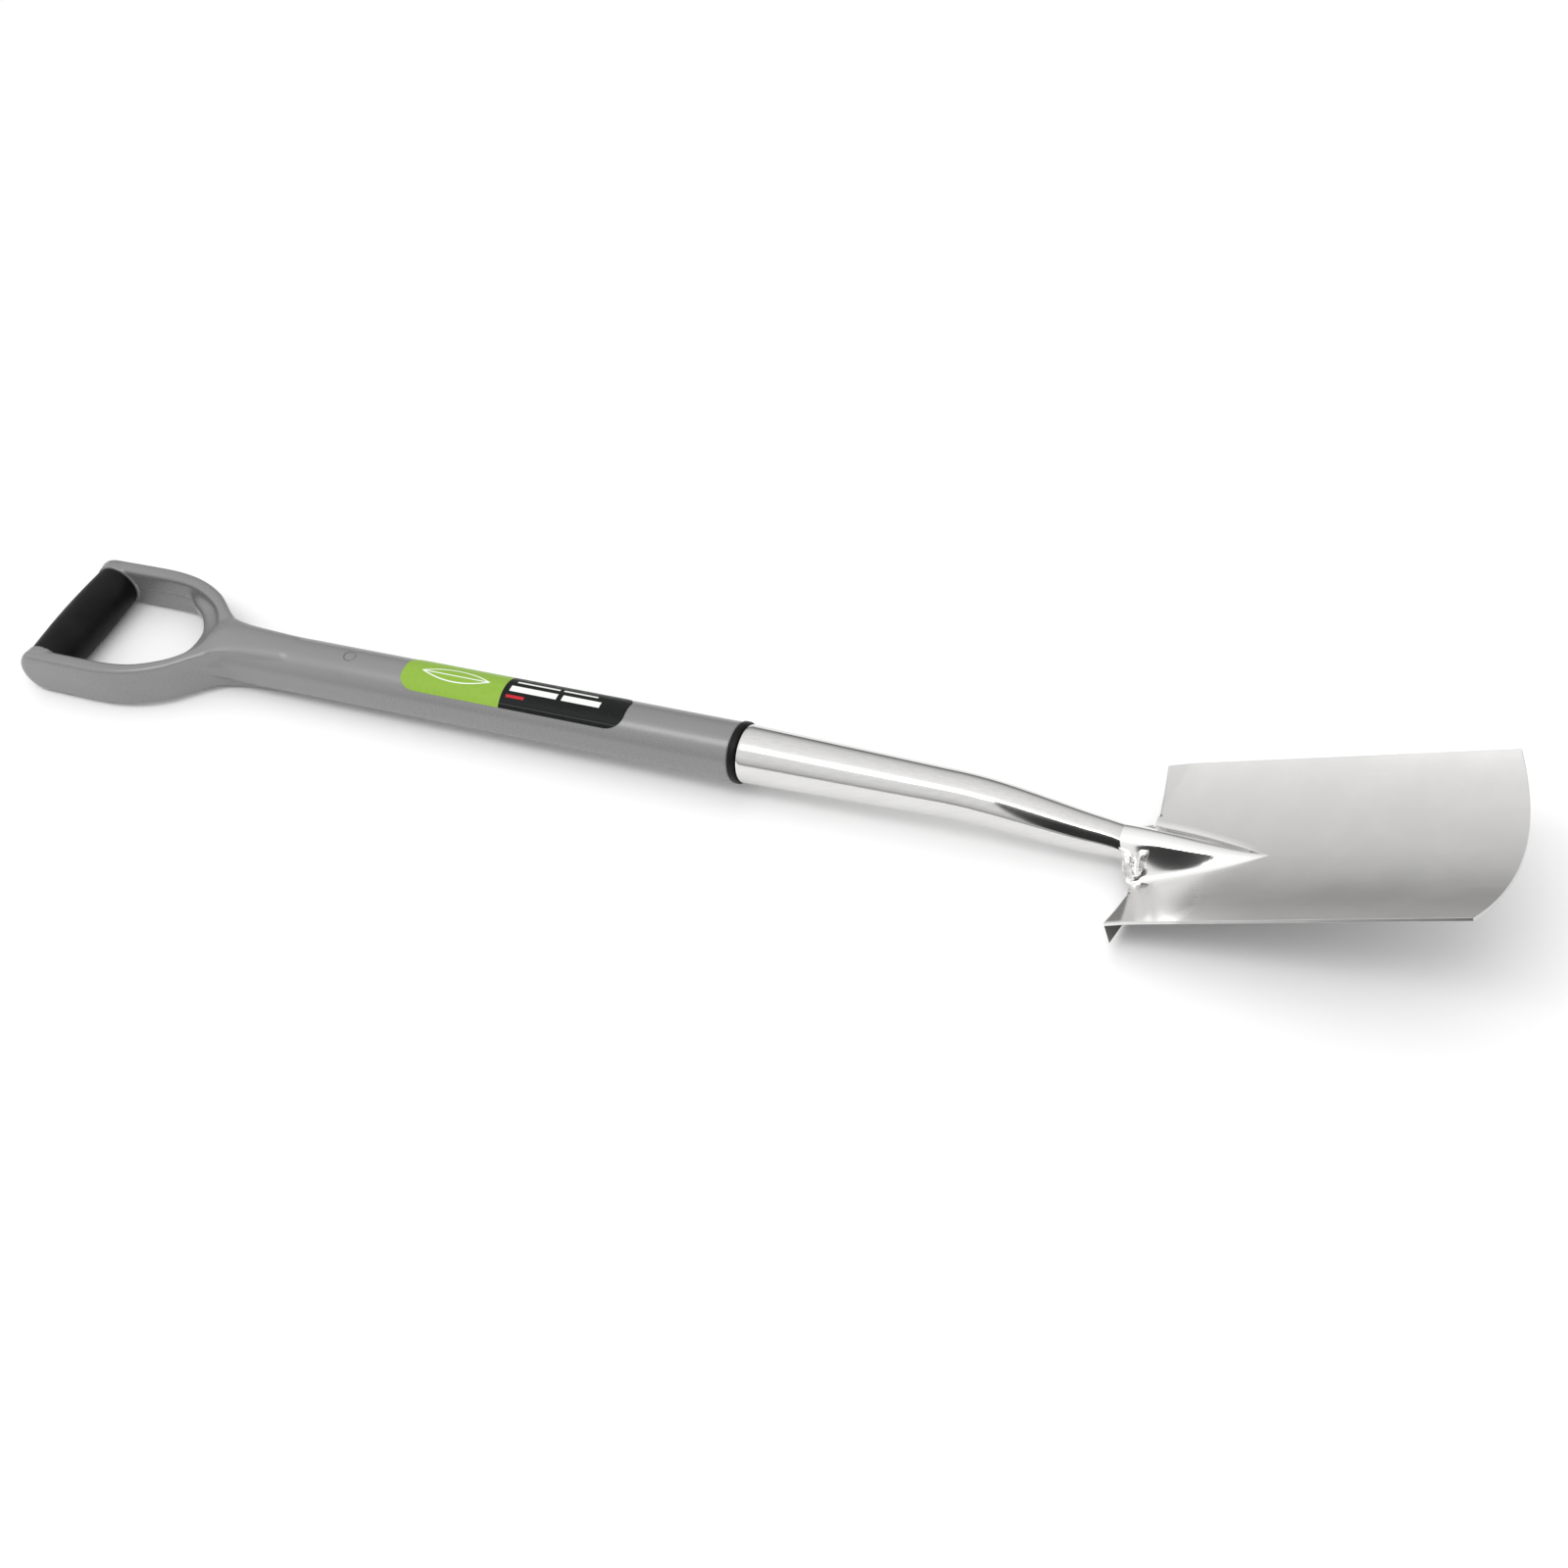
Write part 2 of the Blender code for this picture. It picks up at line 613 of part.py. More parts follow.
def make_plug(frame, plastic):
    body = turned([(0.0150, PLUG_RADIUS), (0.0196, PLUG_RADIUS)], "Z", 16)
    obj = add_object("vent_plug", *body, plastic, frame)
    obj.location = (-PLUG_S, 0, 0)
    return obj


def make_screw(frame, steel):
    """A domed head under the socket and a shank through both walls."""
    seat = socket_radius(SCREW_S) + CLEARANCE
    profile = [(-seat - 0.0022, 0.0015), (-seat - 0.0018, 0.0032), (-seat - 0.0008, SCREW_HEAD_RADIUS),
               (-seat, SCREW_HEAD_RADIUS), (-seat, SCREW_SHANK_RADIUS), (-0.0120, SCREW_SHANK_RADIUS)]
    obj = add_object("socket_screw", *turned(profile, "Z", 16), steel, frame)
    obj.location = (-SCREW_S, 0, 0)
    return obj


def make_label(frame, film):
    """A thin film round the shaft's top, with rounded corners."""
    steps_along, steps_around = 14, 10
    low, high = SHAFT_RADIUS + CLEARANCE, SHAFT_RADIUS + 2 * CLEARANCE
    places = []
    for i in range(5):
        places.append(LABEL_CORNER * (1 - math.cos(math.pi / 2 * i / 4)))
    length = LABEL_END - LABEL_START
    middle = [LABEL_CORNER + (length - 2 * LABEL_CORNER) * i / steps_along for i in range(1, steps_along)]
    places = places + middle + [length - p for p in reversed(places)]
    rings = []
    for place in places:
        short = max(0.0, LABEL_CORNER - min(place, length - place)) / LABEL_CORNER
        half = LABEL_HALF_ANGLE * (0.45 + 0.55 * math.sqrt(max(0.0, 1 - short * short)))
        turns = [half * (2 * k / steps_around - 1) for k in range(steps_around + 1)]
        x = -(LABEL_START + place)
        top = [Vector((x, high * math.sin(t), high * math.cos(t))) for t in turns]
        under = [Vector((x, low * math.sin(t), low * math.cos(t))) for t in reversed(turns)]
        rings.append(top + under)
    return add_object("label", *loft(rings), film, frame)


def resting_pitch():
    """The turn about Y that sets the treads' lower corners and the handle's arms level."""
    corner = shaft_frame_point(tread_edge(TREAD_START))
    reach = corner.x + GRIP_S
    fall = corner.z + HANDLE_DROP
    return math.asin(-HANDLE_DEPTH / math.hypot(reach, fall)) - math.atan2(fall, reach)


def shaft_frame_point(p):
    """A point of the blade's frame in the shaft's frame."""
    return Matrix.Rotation(-LIFT, 3, "Y") @ (p - Vector((0, 0, SHAFT_HEIGHT)))


def stand_on_floor(root):
    """Moves the spade so that it rests on z = 0 over the middle of its box."""
    bpy.context.view_layer.update()
    graph = bpy.context.evaluated_depsgraph_get()
    points = []
    for obj in bpy.data.objects:
        if obj.type == "MESH" and not obj.hide_render:
            shape = obj.evaluated_get(graph)
            points += [shape.matrix_world @ v.co for v in shape.data.vertices]
    lows = [min(p[i] for p in points) for i in range(3)]
    highs = [max(p[i] for p in points) for i in range(3)]
    root.location -= Vector(((lows[0] + highs[0]) / 2, (lows[1] + highs[1]) / 2, lows[2]))


def main():
    for obj in list(bpy.data.objects):
        bpy.data.objects.remove(obj)
    steel = material("polished_stainless", (0.72, 0.72, 0.71), 1.0, 0.08)
    satin = material("satin_stainless", (0.66, 0.66, 0.65), 1.0, 0.35)
    plastic = material("grey_polypropylene", (0.30, 0.30, 0.31), 0.0, 0.45)
    rubber = material("black_rubber", (0.012, 0.012, 0.012), 0.0, 0.6)
    film = material("label_film", (0.20, 0.42, 0.06), 0.0, 0.25)
    root = add_empty("spade")
    shaft = add_empty("shaft_frame", root, turn_y=-resting_pitch())
    shoulder = shaft_frame_point(Vector((0, 0, 0)))
    blade = add_empty("blade_frame", shaft, shoulder, -LIFT)
    make_blade(blade, satin)
    make_socket(blade, steel)
    make_welds(blade, steel)
    make_shaft_handle(shaft, plastic)
    make_grip(shaft, rubber)
    make_ring(shaft, rubber)
    make_plug(shaft, plastic)
    make_screw(shaft, steel)
    make_label(shaft, film)
    stand_on_floor(root)


main()
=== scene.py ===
"""The looks of the garden spade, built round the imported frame.

Every piece is worked out in one of two frames and then written in world axes. An attribute keeps its
points in its own frame, for its textures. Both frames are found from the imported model's boxes. The
shaft's frame has its X axis on the shaft line, towards the blade, with X = 0 at the shoulder. The
blade's frame has X from the folded shoulder to the tip and Z out of the hollow front face.
"""
import itertools
import math

import bpy
import numpy as np
from mathutils import Matrix, Vector


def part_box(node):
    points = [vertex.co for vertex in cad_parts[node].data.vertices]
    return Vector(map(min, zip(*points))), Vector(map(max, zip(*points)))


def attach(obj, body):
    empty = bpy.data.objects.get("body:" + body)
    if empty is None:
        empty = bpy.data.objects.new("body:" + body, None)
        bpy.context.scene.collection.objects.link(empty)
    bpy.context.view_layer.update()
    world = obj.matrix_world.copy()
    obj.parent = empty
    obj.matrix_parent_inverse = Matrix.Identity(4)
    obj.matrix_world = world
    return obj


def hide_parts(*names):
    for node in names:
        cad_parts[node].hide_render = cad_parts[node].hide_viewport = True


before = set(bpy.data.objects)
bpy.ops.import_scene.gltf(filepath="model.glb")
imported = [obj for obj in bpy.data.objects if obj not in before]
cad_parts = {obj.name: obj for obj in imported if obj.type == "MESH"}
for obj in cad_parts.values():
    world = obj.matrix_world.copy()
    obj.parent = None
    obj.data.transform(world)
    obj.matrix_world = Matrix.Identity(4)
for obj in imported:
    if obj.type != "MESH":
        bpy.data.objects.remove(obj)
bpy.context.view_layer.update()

# Blade, as the CAD has it, in metres
SHEET = 0.002
SHOULDER_HALF = 0.0694
TIP_HALF = 0.0681
SIDE_LENGTH = 0.2255
TIP_BOW = 0.0113
DISH_SHOULDER = 0.0148
DISH_TIP = 0.0166
FACET_LENGTH = 0.016
FACET_DROP = 0.0011
FROG_LENGTH = 0.082
FROG_HEIGHT = 0.0235
FROG_HALF = 0.0280
FROG_DOME = 0.0115
FROG_FILLET = 0.0090
FROG_FLANK = math.radians(52)
DOME_STEPS, FLANK_STEPS, FILLET_STEPS = 14, 8, 12
THROAT_LEAN = 0.0058
FROG_FOOT = 0.0307
NOTCH_START = 0.0335
TREAD_START = 0.0355
FOLD_RADIUS = 0.003
FOLD = math.radians(82)
FOLD_SPLAY = 0.0019
TREAD_DEPTH = 0.0140
TREAD_DEPTH_OUTER = 0.0175

# Looks of the blade's right shoulder: a half polished patch painted lighter as a painted reflection, and a
# facet painted dark as painted shade
PATCH_LENGTH = 0.052
PATCH_WAVE = 0.003
PATCH_FADE = 0.007
# How far the corner patch goes towards polish: it is smoother and painted lighter, a painted reflection
PATCH_POLISH_AND_SHEEN = 0.45
# How dark the facet by the right fold is painted: painted shade
FACET_PAINTED_SHADE = 0.85

# Shaft line, socket and handle: distances S run from the shoulder towards the handle
SHAFT_HEIGHT = 0.0273
LIFT = math.radians(17.28)
SOCKET_TOP = 0.2622
SOCKET_TOP_RADIUS = 0.0198
SOCKET_MIDDLE_RADIUS = 0.0160
SOCKET_BEND_START = 0.118
SOCKET_BEND_END = 0.004
SOCKET_BEND_DROP = 0.0125
SOCKET_THROAT_RADIUS = 0.0116
SOCKET_WALL = 0.0015
SOCKET_TIP = 0.046
SOCKET_TAPER_END = 0.012
SOCKET_SOFTEN = 0.014
NESTED_HALF = 0.0098
NESTED_BOTTOM = 0.0048
NESTED_SINK = 0.0016
JOINT_X = -0.0066
JOINT_HALF = 0.0112
# Flank welds: heights on the frog's half section are counted in its steps, 0 on the ridge
SECTION_STEPS = DOME_STEPS + FLANK_STEPS + FILLET_STEPS
RIGHT_WELD_TOP = 14.6
LEFT_WELD_TOP = 18.5
WELD_FOOT = 27.4
WELD_DIP = 2.2
WELD_BEHIND = 0.0068
WELD_AHEAD = 0.0088
WELD_FOOT_AHEAD = 0.0022
WELD_HEIGHT = 0.0026
WELD_UNDER = 0.0006
WELD_BUMP = 0.0003

# Ring, shaft and handle
RING_S = 0.2650
SHAFT_RADIUS = 0.0200
SHAFT_FOOT = 0.2678
SPIGOT_FOOT = 0.170
HANDLE_DEPTH = 0.0182
HANDLE_DROP = 0.0010
HANDLE_RIM = 0.0045
GRIP_S = 0.8092
ARM_INNER = 0.0462
CORE_RADIUS = 0.0110
COLLAR_RADIUS = 0.0176
COLLAR_PROUD = 0.0008
OUTER_OUTLINE = ((0.622, 0.0070), (0.645, 0.0106), (0.661, 0.0131), (0.6755, 0.0185), (0.688, 0.0266),
                 (0.698, 0.0354), (0.7077, 0.0428), (0.7224, 0.0502), (0.7397, 0.0552), (0.758, 0.0573),
                 (0.780, 0.0575), (0.805, 0.0573))
SHAFT_END = 0.688
SHAFT_END_ROUND = 0.015
SHAFT_FOOT_ROUND = 0.0007
HANDLE_START = 0.600
BLEND_WIDE = 0.0095
BLEND_NARROW = 0.0016
THROAT_SWELL = 0.0165
THROAT_END = 0.750
OPENING_OUTLINE = ((0.689, 0.0), (0.6905, 0.0105), (0.698, 0.0226), (0.7095, 0.0326), (0.728, 0.0417),
                   (0.747, 0.0455), (0.770, 0.0463))
CLEARANCE = 0.0003
GRIP_END_RADIUS = 0.0166
GRIP_MIDDLE_RADIUS = 0.0180
RING_RADIUS = 0.0210
PLUG_S = 0.567
PLUG_RADIUS = 0.0050
SCREW_S = 0.238
LABEL_START = 0.347
LABEL_END = 0.5212
LABEL_HALF_ANGLE = math.radians(48)
LABEL_CORNER = 0.013
LABEL_SPLIT = 0.4407
LEAF_S = 0.480
LEAF_HALF_LENGTH = 0.0275
LEAF_HALF_WIDTH = 0.0058
LEAF_LINE = 0.0009
VEIN_HALF = 0.0004
# Bars: start and end along the shaft, lowest and highest arc from the top line
WHITE_BARS = ((0.372, 0.398, 0.0052, 0.0070), (0.401, 0.434, 0.0052, 0.0070),
              (0.367, 0.396, -0.0036, 0.0014), (0.400, 0.436, -0.0036, 0.0014))
RED_BAR = (0.423, 0.437, -0.0088, -0.0066)
THIN_LINE = (-0.0142, -0.0137)


# ---- frames ----

def middle(node):
    low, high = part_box(node)
    return (low + high) / 2


def shaft_matrix():
    """The shaft's frame, from the middles of the rubber ring and of the grip."""
    ring, grip = middle("socket_ring"), middle("soft_grip")
    reach = GRIP_S - RING_S
    turn = math.atan2(grip.z - ring.z, grip.x - ring.x) - math.atan2(-HANDLE_DROP, -reach)
    turned_axis = Matrix.Rotation(-turn, 4, "Y")
    return Matrix.Translation(ring - turned_axis @ Vector((-RING_S, 0, 0))) @ turned_axis


SHAFT_FRAME = shaft_matrix()
BLADE_FRAME = SHAFT_FRAME @ Matrix.Rotation(-LIFT, 4, "Y") @ Matrix.Translation((0, 0, -SHAFT_HEIGHT))


# ---- mesh helpers ----

def smooth(t):
    """A soft step from 0 to 1, for a number or an array."""
    t = np.clip(t, 0.0, 1.0)
    return t * t * (3 - 2 * t)


def new_object(name, points, faces, own, mat):
    """A mesh object in world axes. Its textures read the attribute own_place."""
    mesh = bpy.data.meshes.new(name)
    mesh.from_pydata(points, [], faces)
    place = mesh.attributes.new("own_place", "FLOAT_VECTOR", "POINT")
    place.data.foreach_set("vector", np.ravel(own))
    mesh.materials.append(mat)
    made = bpy.data.objects.new(name, mesh)
    bpy.context.scene.collection.objects.link(made)
    return made


def make_piece(name, verts, faces, matrix, mat, node, sharp=None):
    """One smooth-shaded piece in place of a CAD node, from points in a frame of their own."""
    own = np.asarray(verts, float)
    turn = np.array(matrix.to_3x3())
    points = (own @ turn.T + np.array(matrix.translation)).tolist()
    piece = new_object(name, points, [tuple(int(i) for i in f) for f in faces], own, mat)
    piece.data.shade_smooth()
    if sharp:
        piece.data.set_sharp_from_angle(angle=math.radians(sharp))
    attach(piece, "root")
    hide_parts(node)
    return piece


def set_attribute(piece, name, values):
    made = piece.data.attributes.new(name, "FLOAT", "POINT")
    made.data.foreach_set("value", [float(v) for v in values])


def loft(rings, closed=False):
    """A skin over rings of equal count: closed on itself like a tyre, or capped at both ends."""
    count = len(rings[0])
    verts = [p for ring in rings for p in ring]
    faces = []
    rows = len(rings) if closed else len(rings) - 1
    for row in range(rows):
        start, following = row * count, (row + 1) % len(rings) * count
        for i in range(count):
            j = (i + 1) % count
            faces.append((start + i, start + j, following + j, following + i))
    if not closed:
        faces.append(tuple(reversed(range(count))))
        faces.append(tuple(range(len(verts) - count, len(verts))))
    return verts, faces


def circle(center, along, across, half_across, half_up, sides=96):
    up = across.cross(along).normalized()
    points = []
    for i in range(sides):
        turn = 2 * math.pi * i / sides
        points.append(center + across * (half_across * math.cos(turn)) + up * (half_up * math.sin(turn)))
    return points


def turned(profile, axis, center=(0, 0, 0)):
    """A ring turned about X or Y through a point, from (place, radius) pairs round its section."""
    along, across = Vector((1, 0, 0)), Vector((0, 1, 0))
    if axis == "Y":
        along, across = across, along
    rings = [circle(Vector(center) + along * place, along, across, r, r) for place, r in profile]
    return loft(rings, closed=True)


def catmull(points, steps):
    """A smooth curve through points, passing through the first and the last."""
    points = [np.asarray(p, float) for p in points]
    padded = [points[0], *points, points[-1]]
    curve = []
    for a, b, c, d in zip(padded, padded[1:], padded[2:], padded[3:]):
        for i in range(steps):
            t = i / steps
            curve.append(0.5 * (2 * b + (c - a) * t + (2 * a - 5 * b + 4 * c - d) * t * t
                                + (3 * b - a - 3 * c + d) * t ** 3))
    curve.append(points[-1])
    return curve


# ---- material helpers ----

class Nodes:
    """Short ways to add nodes to a tree."""

    def __init__(self, tree):
        self.tree = tree

    def node(self, kind, **settings):
        made = self.tree.nodes.new(kind)
        for key, value in settings.items():
            setattr(made, key, value)
        return made

    def link(self, source, target):
        if isinstance(source, (int, float)):
            target.default_value = source
        else:
            self.tree.links.new(source, target)

    def math(self, operation, a, b=0.0):
        made = self.node("ShaderNodeMath", operation=operation)
        for value, socket in zip((a, b), made.inputs):
            self.link(value, socket)
        return made.outputs[0]

    def split(self, vector):
        made = self.node("ShaderNodeSeparateXYZ")
        self.link(vector, made.inputs[0])
        return made.outputs

    def ramp(self, value, low, high, from_low=0.3, from_high=0.7):
        made = self.node("ShaderNodeMapRange", interpolation_type="SMOOTHSTEP")
        for source, socket in zip((value, from_low, from_high, low, high), made.inputs[:5]):
            self.link(source, socket)
        return made.outputs["Result"]


class Shade(Nodes):
    """A Principled material whose textures follow its piece's own frame."""

    def __init__(self, name, color, metallic, roughness, **sockets):
        self.mat = bpy.data.materials.new(name)
        self.mat.use_nodes = True
        super().__init__(self.mat.node_tree)
        self.shader = self.tree.nodes["Principled BSDF"]
        self.shader.inputs["Base Color"].default_value = (*color, 1)
        self.shader.inputs["Metallic"].default_value = metallic
        self.shader.inputs["Roughness"].default_value = roughness
        for socket, value in sockets.items():
            self.shader.inputs[socket.replace("_", " ")].default_value = value
        self.place = self.node("ShaderNodeAttribute", attribute_name="own_place").outputs["Vector"]

    def noise(self, scale, stretch=(1, 1, 1), detail=3.0, rough=0.5, warp=0.0):
        spread = self.node("ShaderNodeMapping")
        self.link(self.place, spread.inputs["Vector"])
        spread.inputs["Scale"].default_value = stretch
        made = self.node("ShaderNodeTexNoise")
        made.inputs["Scale"].default_value = scale
        made.inputs["Detail"].default_value = detail
        made.inputs["Roughness"].default_value = rough
        made.inputs["Distortion"].default_value = warp
        self.link(spread.outputs["Vector"], made.inputs["Vector"])
        return made.outputs["Fac"]

    def mix(self, share, a, b):
        made = self.node("ShaderNodeMix", data_type="RGBA")
        self.link(share, made.inputs["Factor"])
        for color, socket in ((a, made.inputs["A"]), (b, made.inputs["B"])):
            if isinstance(color, tuple):
                socket.default_value = (*color, 1)
            else:
                self.link(color, socket)
        return made.outputs["Result"]

    def attribute(self, name):
        return self.node("ShaderNodeAttribute", attribute_name=name).outputs["Fac"]

    def color(self, value):
        self.link(value, self.shader.inputs["Base Color"])

    def roughness(self, value):
        self.link(value, self.shader.inputs["Roughness"])

    def bump(self, *layers):
        """Each layer is (height from 0 to 1, real depth in metres)."""
        normal = None
        for height, depth in layers:
            made = self.node("ShaderNodeBump")
            made.inputs["Strength"].default_value = 1.0
            made.inputs["Distance"].default_value = depth
            self.link(height, made.inputs["Height"])
            if normal:
                self.link(normal, made.inputs["Normal"])
            normal = made.outputs["Normal"]
        self.link(normal, self.shader.inputs["Normal"])


def blade_steel():
    """Satin stainless steel, brushed along the blade and mirror bright where it is polished; painted
    lighter at one corner as a painted reflection, and painted dark on the facet by the right fold as
    painted shade.
    """
    shade = Shade("satin_stainless", (0.62, 0.615, 0.605), 1.0, 0.3)
    polish_and_painted_sheen = shade.attribute("polish_and_painted_sheen")
    cloud = shade.noise(14, detail=4)
    grain = shade.noise(900, stretch=(0.03, 1, 1), detail=2)
    scratch = shade.noise(260, stretch=(0.05, 1, 1), detail=5, rough=0.65)
    satin = shade.math("ADD", shade.ramp(cloud, 0.31, 0.36), shade.ramp(grain, -0.02, 0.04))
    bright = shade.ramp(cloud, 0.06, 0.10)
    plain = shade.math("SUBTRACT", 1.0, polish_and_painted_sheen)
    shade.roughness(shade.math("ADD", shade.math("MULTIPLY", satin, plain),
                               shade.math("MULTIPLY", bright, polish_and_painted_sheen)))
    smudge = shade.ramp(shade.noise(45, detail=5, rough=0.6), 0.0, 1.0, 0.35, 0.75)
    matt = shade.mix(smudge, (0.605, 0.60, 0.595), (0.63, 0.625, 0.615))
    # Polished steel is painted lighter; at the right corner this is a painted reflection
    steel = shade.mix(polish_and_painted_sheen, matt, (0.90, 0.895, 0.885))
    # Painted shade: the facet beside the right fold is darkened towards near black
    shade.color(shade.mix(shade.attribute("facet_painted_shade"), steel, (0.16, 0.158, 0.155)))
    shade.bump((shade.math("MULTIPLY", scratch, plain), 0.00002), (shade.noise(30, detail=1), 0.00004))
    return shade.mat


def blade_back_steel():
    """The unpolished back of the sheet, with mill grain, painted darker as painted shade for the shadowed
    floor under the blade.
    """
    shade = Shade("back_stainless_painted_shade", (0.20, 0.20, 0.20), 1.0, 0.35)
    cloud = shade.noise(30, detail=5)
    grain = shade.noise(700, stretch=(0.05, 1, 1), detail=3)
    # Painted shade: the whole back is painted dark, 0.17 to 0.24
    shade.color(shade.mix(shade.ramp(cloud, 0.0, 1.0), (0.17, 0.17, 0.17), (0.24, 0.24, 0.235)))
    shade.roughness(shade.ramp(cloud, 0.30, 0.42))
    shade.bump((grain, 0.00003))
    return shade.mat


def tube_steel():
    """Mirror polished tube with the shallow ripples of hand polishing."""
    shade = Shade("polished_stainless", (0.69, 0.685, 0.675), 1.0, 0.08)
    haze = shade.noise(30, stretch=(0.4, 1, 1), detail=4)
    shade.roughness(shade.ramp(haze, 0.06, 0.14))
    lines = shade.noise(500, stretch=(0.04, 1, 1), detail=3)
    shade.color(shade.mix(shade.ramp(lines, 0.0, 1.0), (0.67, 0.665, 0.655), (0.71, 0.705, 0.695)))
    shade.bump((shade.noise(24, stretch=(0.6, 1, 1), detail=1.5), 0.00025), (lines, 0.00001))
    return shade.mat


def weld_steel():
    shade = Shade("weld_metal", (0.82, 0.81, 0.80), 1.0, 0.2)
    pits = shade.noise(260, detail=6, rough=0.65)
    shade.roughness(shade.ramp(pits, 0.12, 0.34))
    shade.color(shade.mix(shade.ramp(pits, 0.0, 1.0), (0.62, 0.61, 0.60), (0.88, 0.87, 0.86)))
    shade.bump((pits, 0.00025), (shade.noise(1500, detail=3), 0.00004))
    return shade.mat


def shaft_plastic():
    """Moulded grey polypropylene: fine satin grain, faint flow marks, a parting line inside the D."""
    shade = Shade("grey_polypropylene", (0.17, 0.17, 0.17), 0.0, 0.3, IOR=1.95)
    flow = shade.noise(16, stretch=(0.25, 1, 1), detail=4, warp=0.4)
    grain = shade.noise(2600, detail=2)
    color = shade.mix(shade.ramp(flow, 0.0, 1.0), (0.156, 0.154, 0.158), (0.176, 0.173, 0.177))
    # Painted shade in the vent plug's groove, towards 0.05
    groove_shade = shade.attribute("groove_shade")
    shade.color(shade.mix(groove_shade, color, (0.05, 0.05, 0.05)))
    shade.roughness(shade.math("ADD", shade.ramp(flow, 0.26, 0.33), shade.ramp(grain, -0.03, 0.04)))
    scuffs = shade.noise(120, stretch=(0.15, 1, 1), detail=5, rough=0.7)
    off = shade.math("ABSOLUTE", shade.math("ADD", shade.split(shade.place)["Z"], HANDLE_DROP))
    ridge = shade.math("MULTIPLY", shade.ramp(off, 1.0, 0.0, 0.0001, 0.0006), shade.attribute("inner"))
    shade.bump((grain, 0.00003), (scuffs, 0.00003), (ridge, 0.0006))
    return shade.mat


def grip_rubber():
    shade = Shade("soft_grip_rubber", (0.004, 0.004, 0.004), 0.0, 0.5, IOR=1.22)
    cloud = shade.noise(40, detail=4)
    grain = shade.noise(3000, detail=2)
    shade.color(shade.mix(shade.ramp(cloud, 0.0, 1.0), (0.003, 0.003, 0.003), (0.008, 0.008, 0.008)))
    shade.roughness(shade.ramp(cloud, 0.42, 0.56))
    shade.bump((grain, 0.00004))
    return shade.mat


def ring_rubber():
    shade = Shade("ring_rubber", (0.006, 0.006, 0.006), 0.0, 0.35, IOR=1.25)
    dust = shade.noise(600, detail=5, rough=0.7)
    dusty = shade.ramp(dust, 0.0, 1.0, 0.5, 0.8)
    shade.color(shade.mix(dusty, (0.004, 0.004, 0.004), (0.016, 0.016, 0.016)))
    shade.roughness(shade.ramp(dust, 0.30, 0.48))
    shade.bump((shade.noise(1800, detail=2), 0.00004))
    return shade.mat


def screw_steel():
    shade = Shade("screw_steel", (0.60, 0.60, 0.60), 1.0, 0.3)
    marks = shade.noise(900, detail=4)
    shade.roughness(shade.ramp(marks, 0.22, 0.42))
    shade.color(shade.mix(shade.ramp(marks, 0.0, 1.0), (0.52, 0.52, 0.52), (0.66, 0.66, 0.65)))
    shade.bump((marks, 0.00008))
    return shade.mat


# ---- blade ----

def half_width(x):
    return SHOULDER_HALF + (TIP_HALF - SHOULDER_HALF) * x / SIDE_LENGTH


def tread_share(y):
    return (abs(y) - TREAD_START) / (SHOULDER_HALF - TREAD_START)


def dish_height(x, y):
    edge = DISH_SHOULDER + (DISH_TIP - DISH_SHOULDER) * x / SIDE_LENGTH
    height = SHEET + edge * (y / half_width(x)) ** 2
    outward = max(0.0, tread_share(y))
    reach = FACET_LENGTH * outward
    if reach > 0 and x < reach:
        height -= FACET_DROP * outward * (1 - x / reach)
    return height


def frog_section():
    """Half the frog's section at the throat, as shares of its half width and height."""
    points = []
    lowest = math.pi / 2 - FROG_FLANK
    for i in range(DOME_STEPS + 1):
        turn = math.pi / 2 + (lowest - math.pi / 2) * i / DOME_STEPS
        points.append((FROG_DOME * math.cos(turn), FROG_HEIGHT - FROG_DOME * (1 - math.sin(turn))))
    fillet_drop = FROG_FILLET * (1 - math.cos(FROG_FLANK))
    run = FROG_HALF - FROG_FILLET * math.sin(FROG_FLANK)
    fillet = []
    for i in range(FILLET_STEPS + 1):
        slope = FROG_FLANK * (1 - i / FILLET_STEPS)
        y = run + FROG_FILLET * (math.sin(FROG_FLANK) - math.sin(slope))
        fillet.append((y, fillet_drop - FROG_FILLET * (math.cos(slope) - math.cos(FROG_FLANK))))
    (y0, z0), (y1, z1) = points[-1], fillet[0]
    for i in range(1, FLANK_STEPS):
        share = i / FLANK_STEPS
        points.append((y0 + (y1 - y0) * share, z0 + (z1 - z0) * share))
    return [(y / FROG_HALF, z / FROG_HEIGHT) for y, z in points + fillet]


def frog_scale(x):
    left = max(0.0, 1 - x / FROG_LENGTH)
    return left ** (0.6 + 0.28 * (1 - left)), left ** 1.8 * (1 + 0.8 * (1 - left))


def blade_columns():
    """Across the blade: (on the frog or not, share of the width there, share of the frog's height)."""
    outside = [(y - FROG_HALF) / (SHOULDER_HALF - FROG_HALF) for y in (FROG_FOOT, NOTCH_START, TREAD_START)]
    outside += [outside[-1] + (1 - outside[-1]) * i / 24 for i in range(1, 25)]
    half = [("frog", y, z) for y, z in frog_section()] + [("plain", share, 0.0) for share in outside]
    return [(kind, -share, z) for kind, share, z in reversed(half[1:])] + half


def front_point(x, column):
    kind, share, height_share = column
    wide, high = frog_scale(x)
    edge = FROG_HALF * max(wide, 0.05)
    if kind == "frog":
        y = share * edge
    else:
        y = math.copysign(edge + (half_width(x) - edge) * abs(share), share)
    x -= FOLD_SPLAY * max(0.0, tread_share(y)) * max(0.0, 1 - x / FROG_LENGTH)
    x += TIP_BOW * (1 - (y / TIP_HALF) ** 2) * max(0.0, x / SIDE_LENGTH) ** 3
    return Vector((x, y, dish_height(x, y) + height_share * FROG_HEIGHT * high))


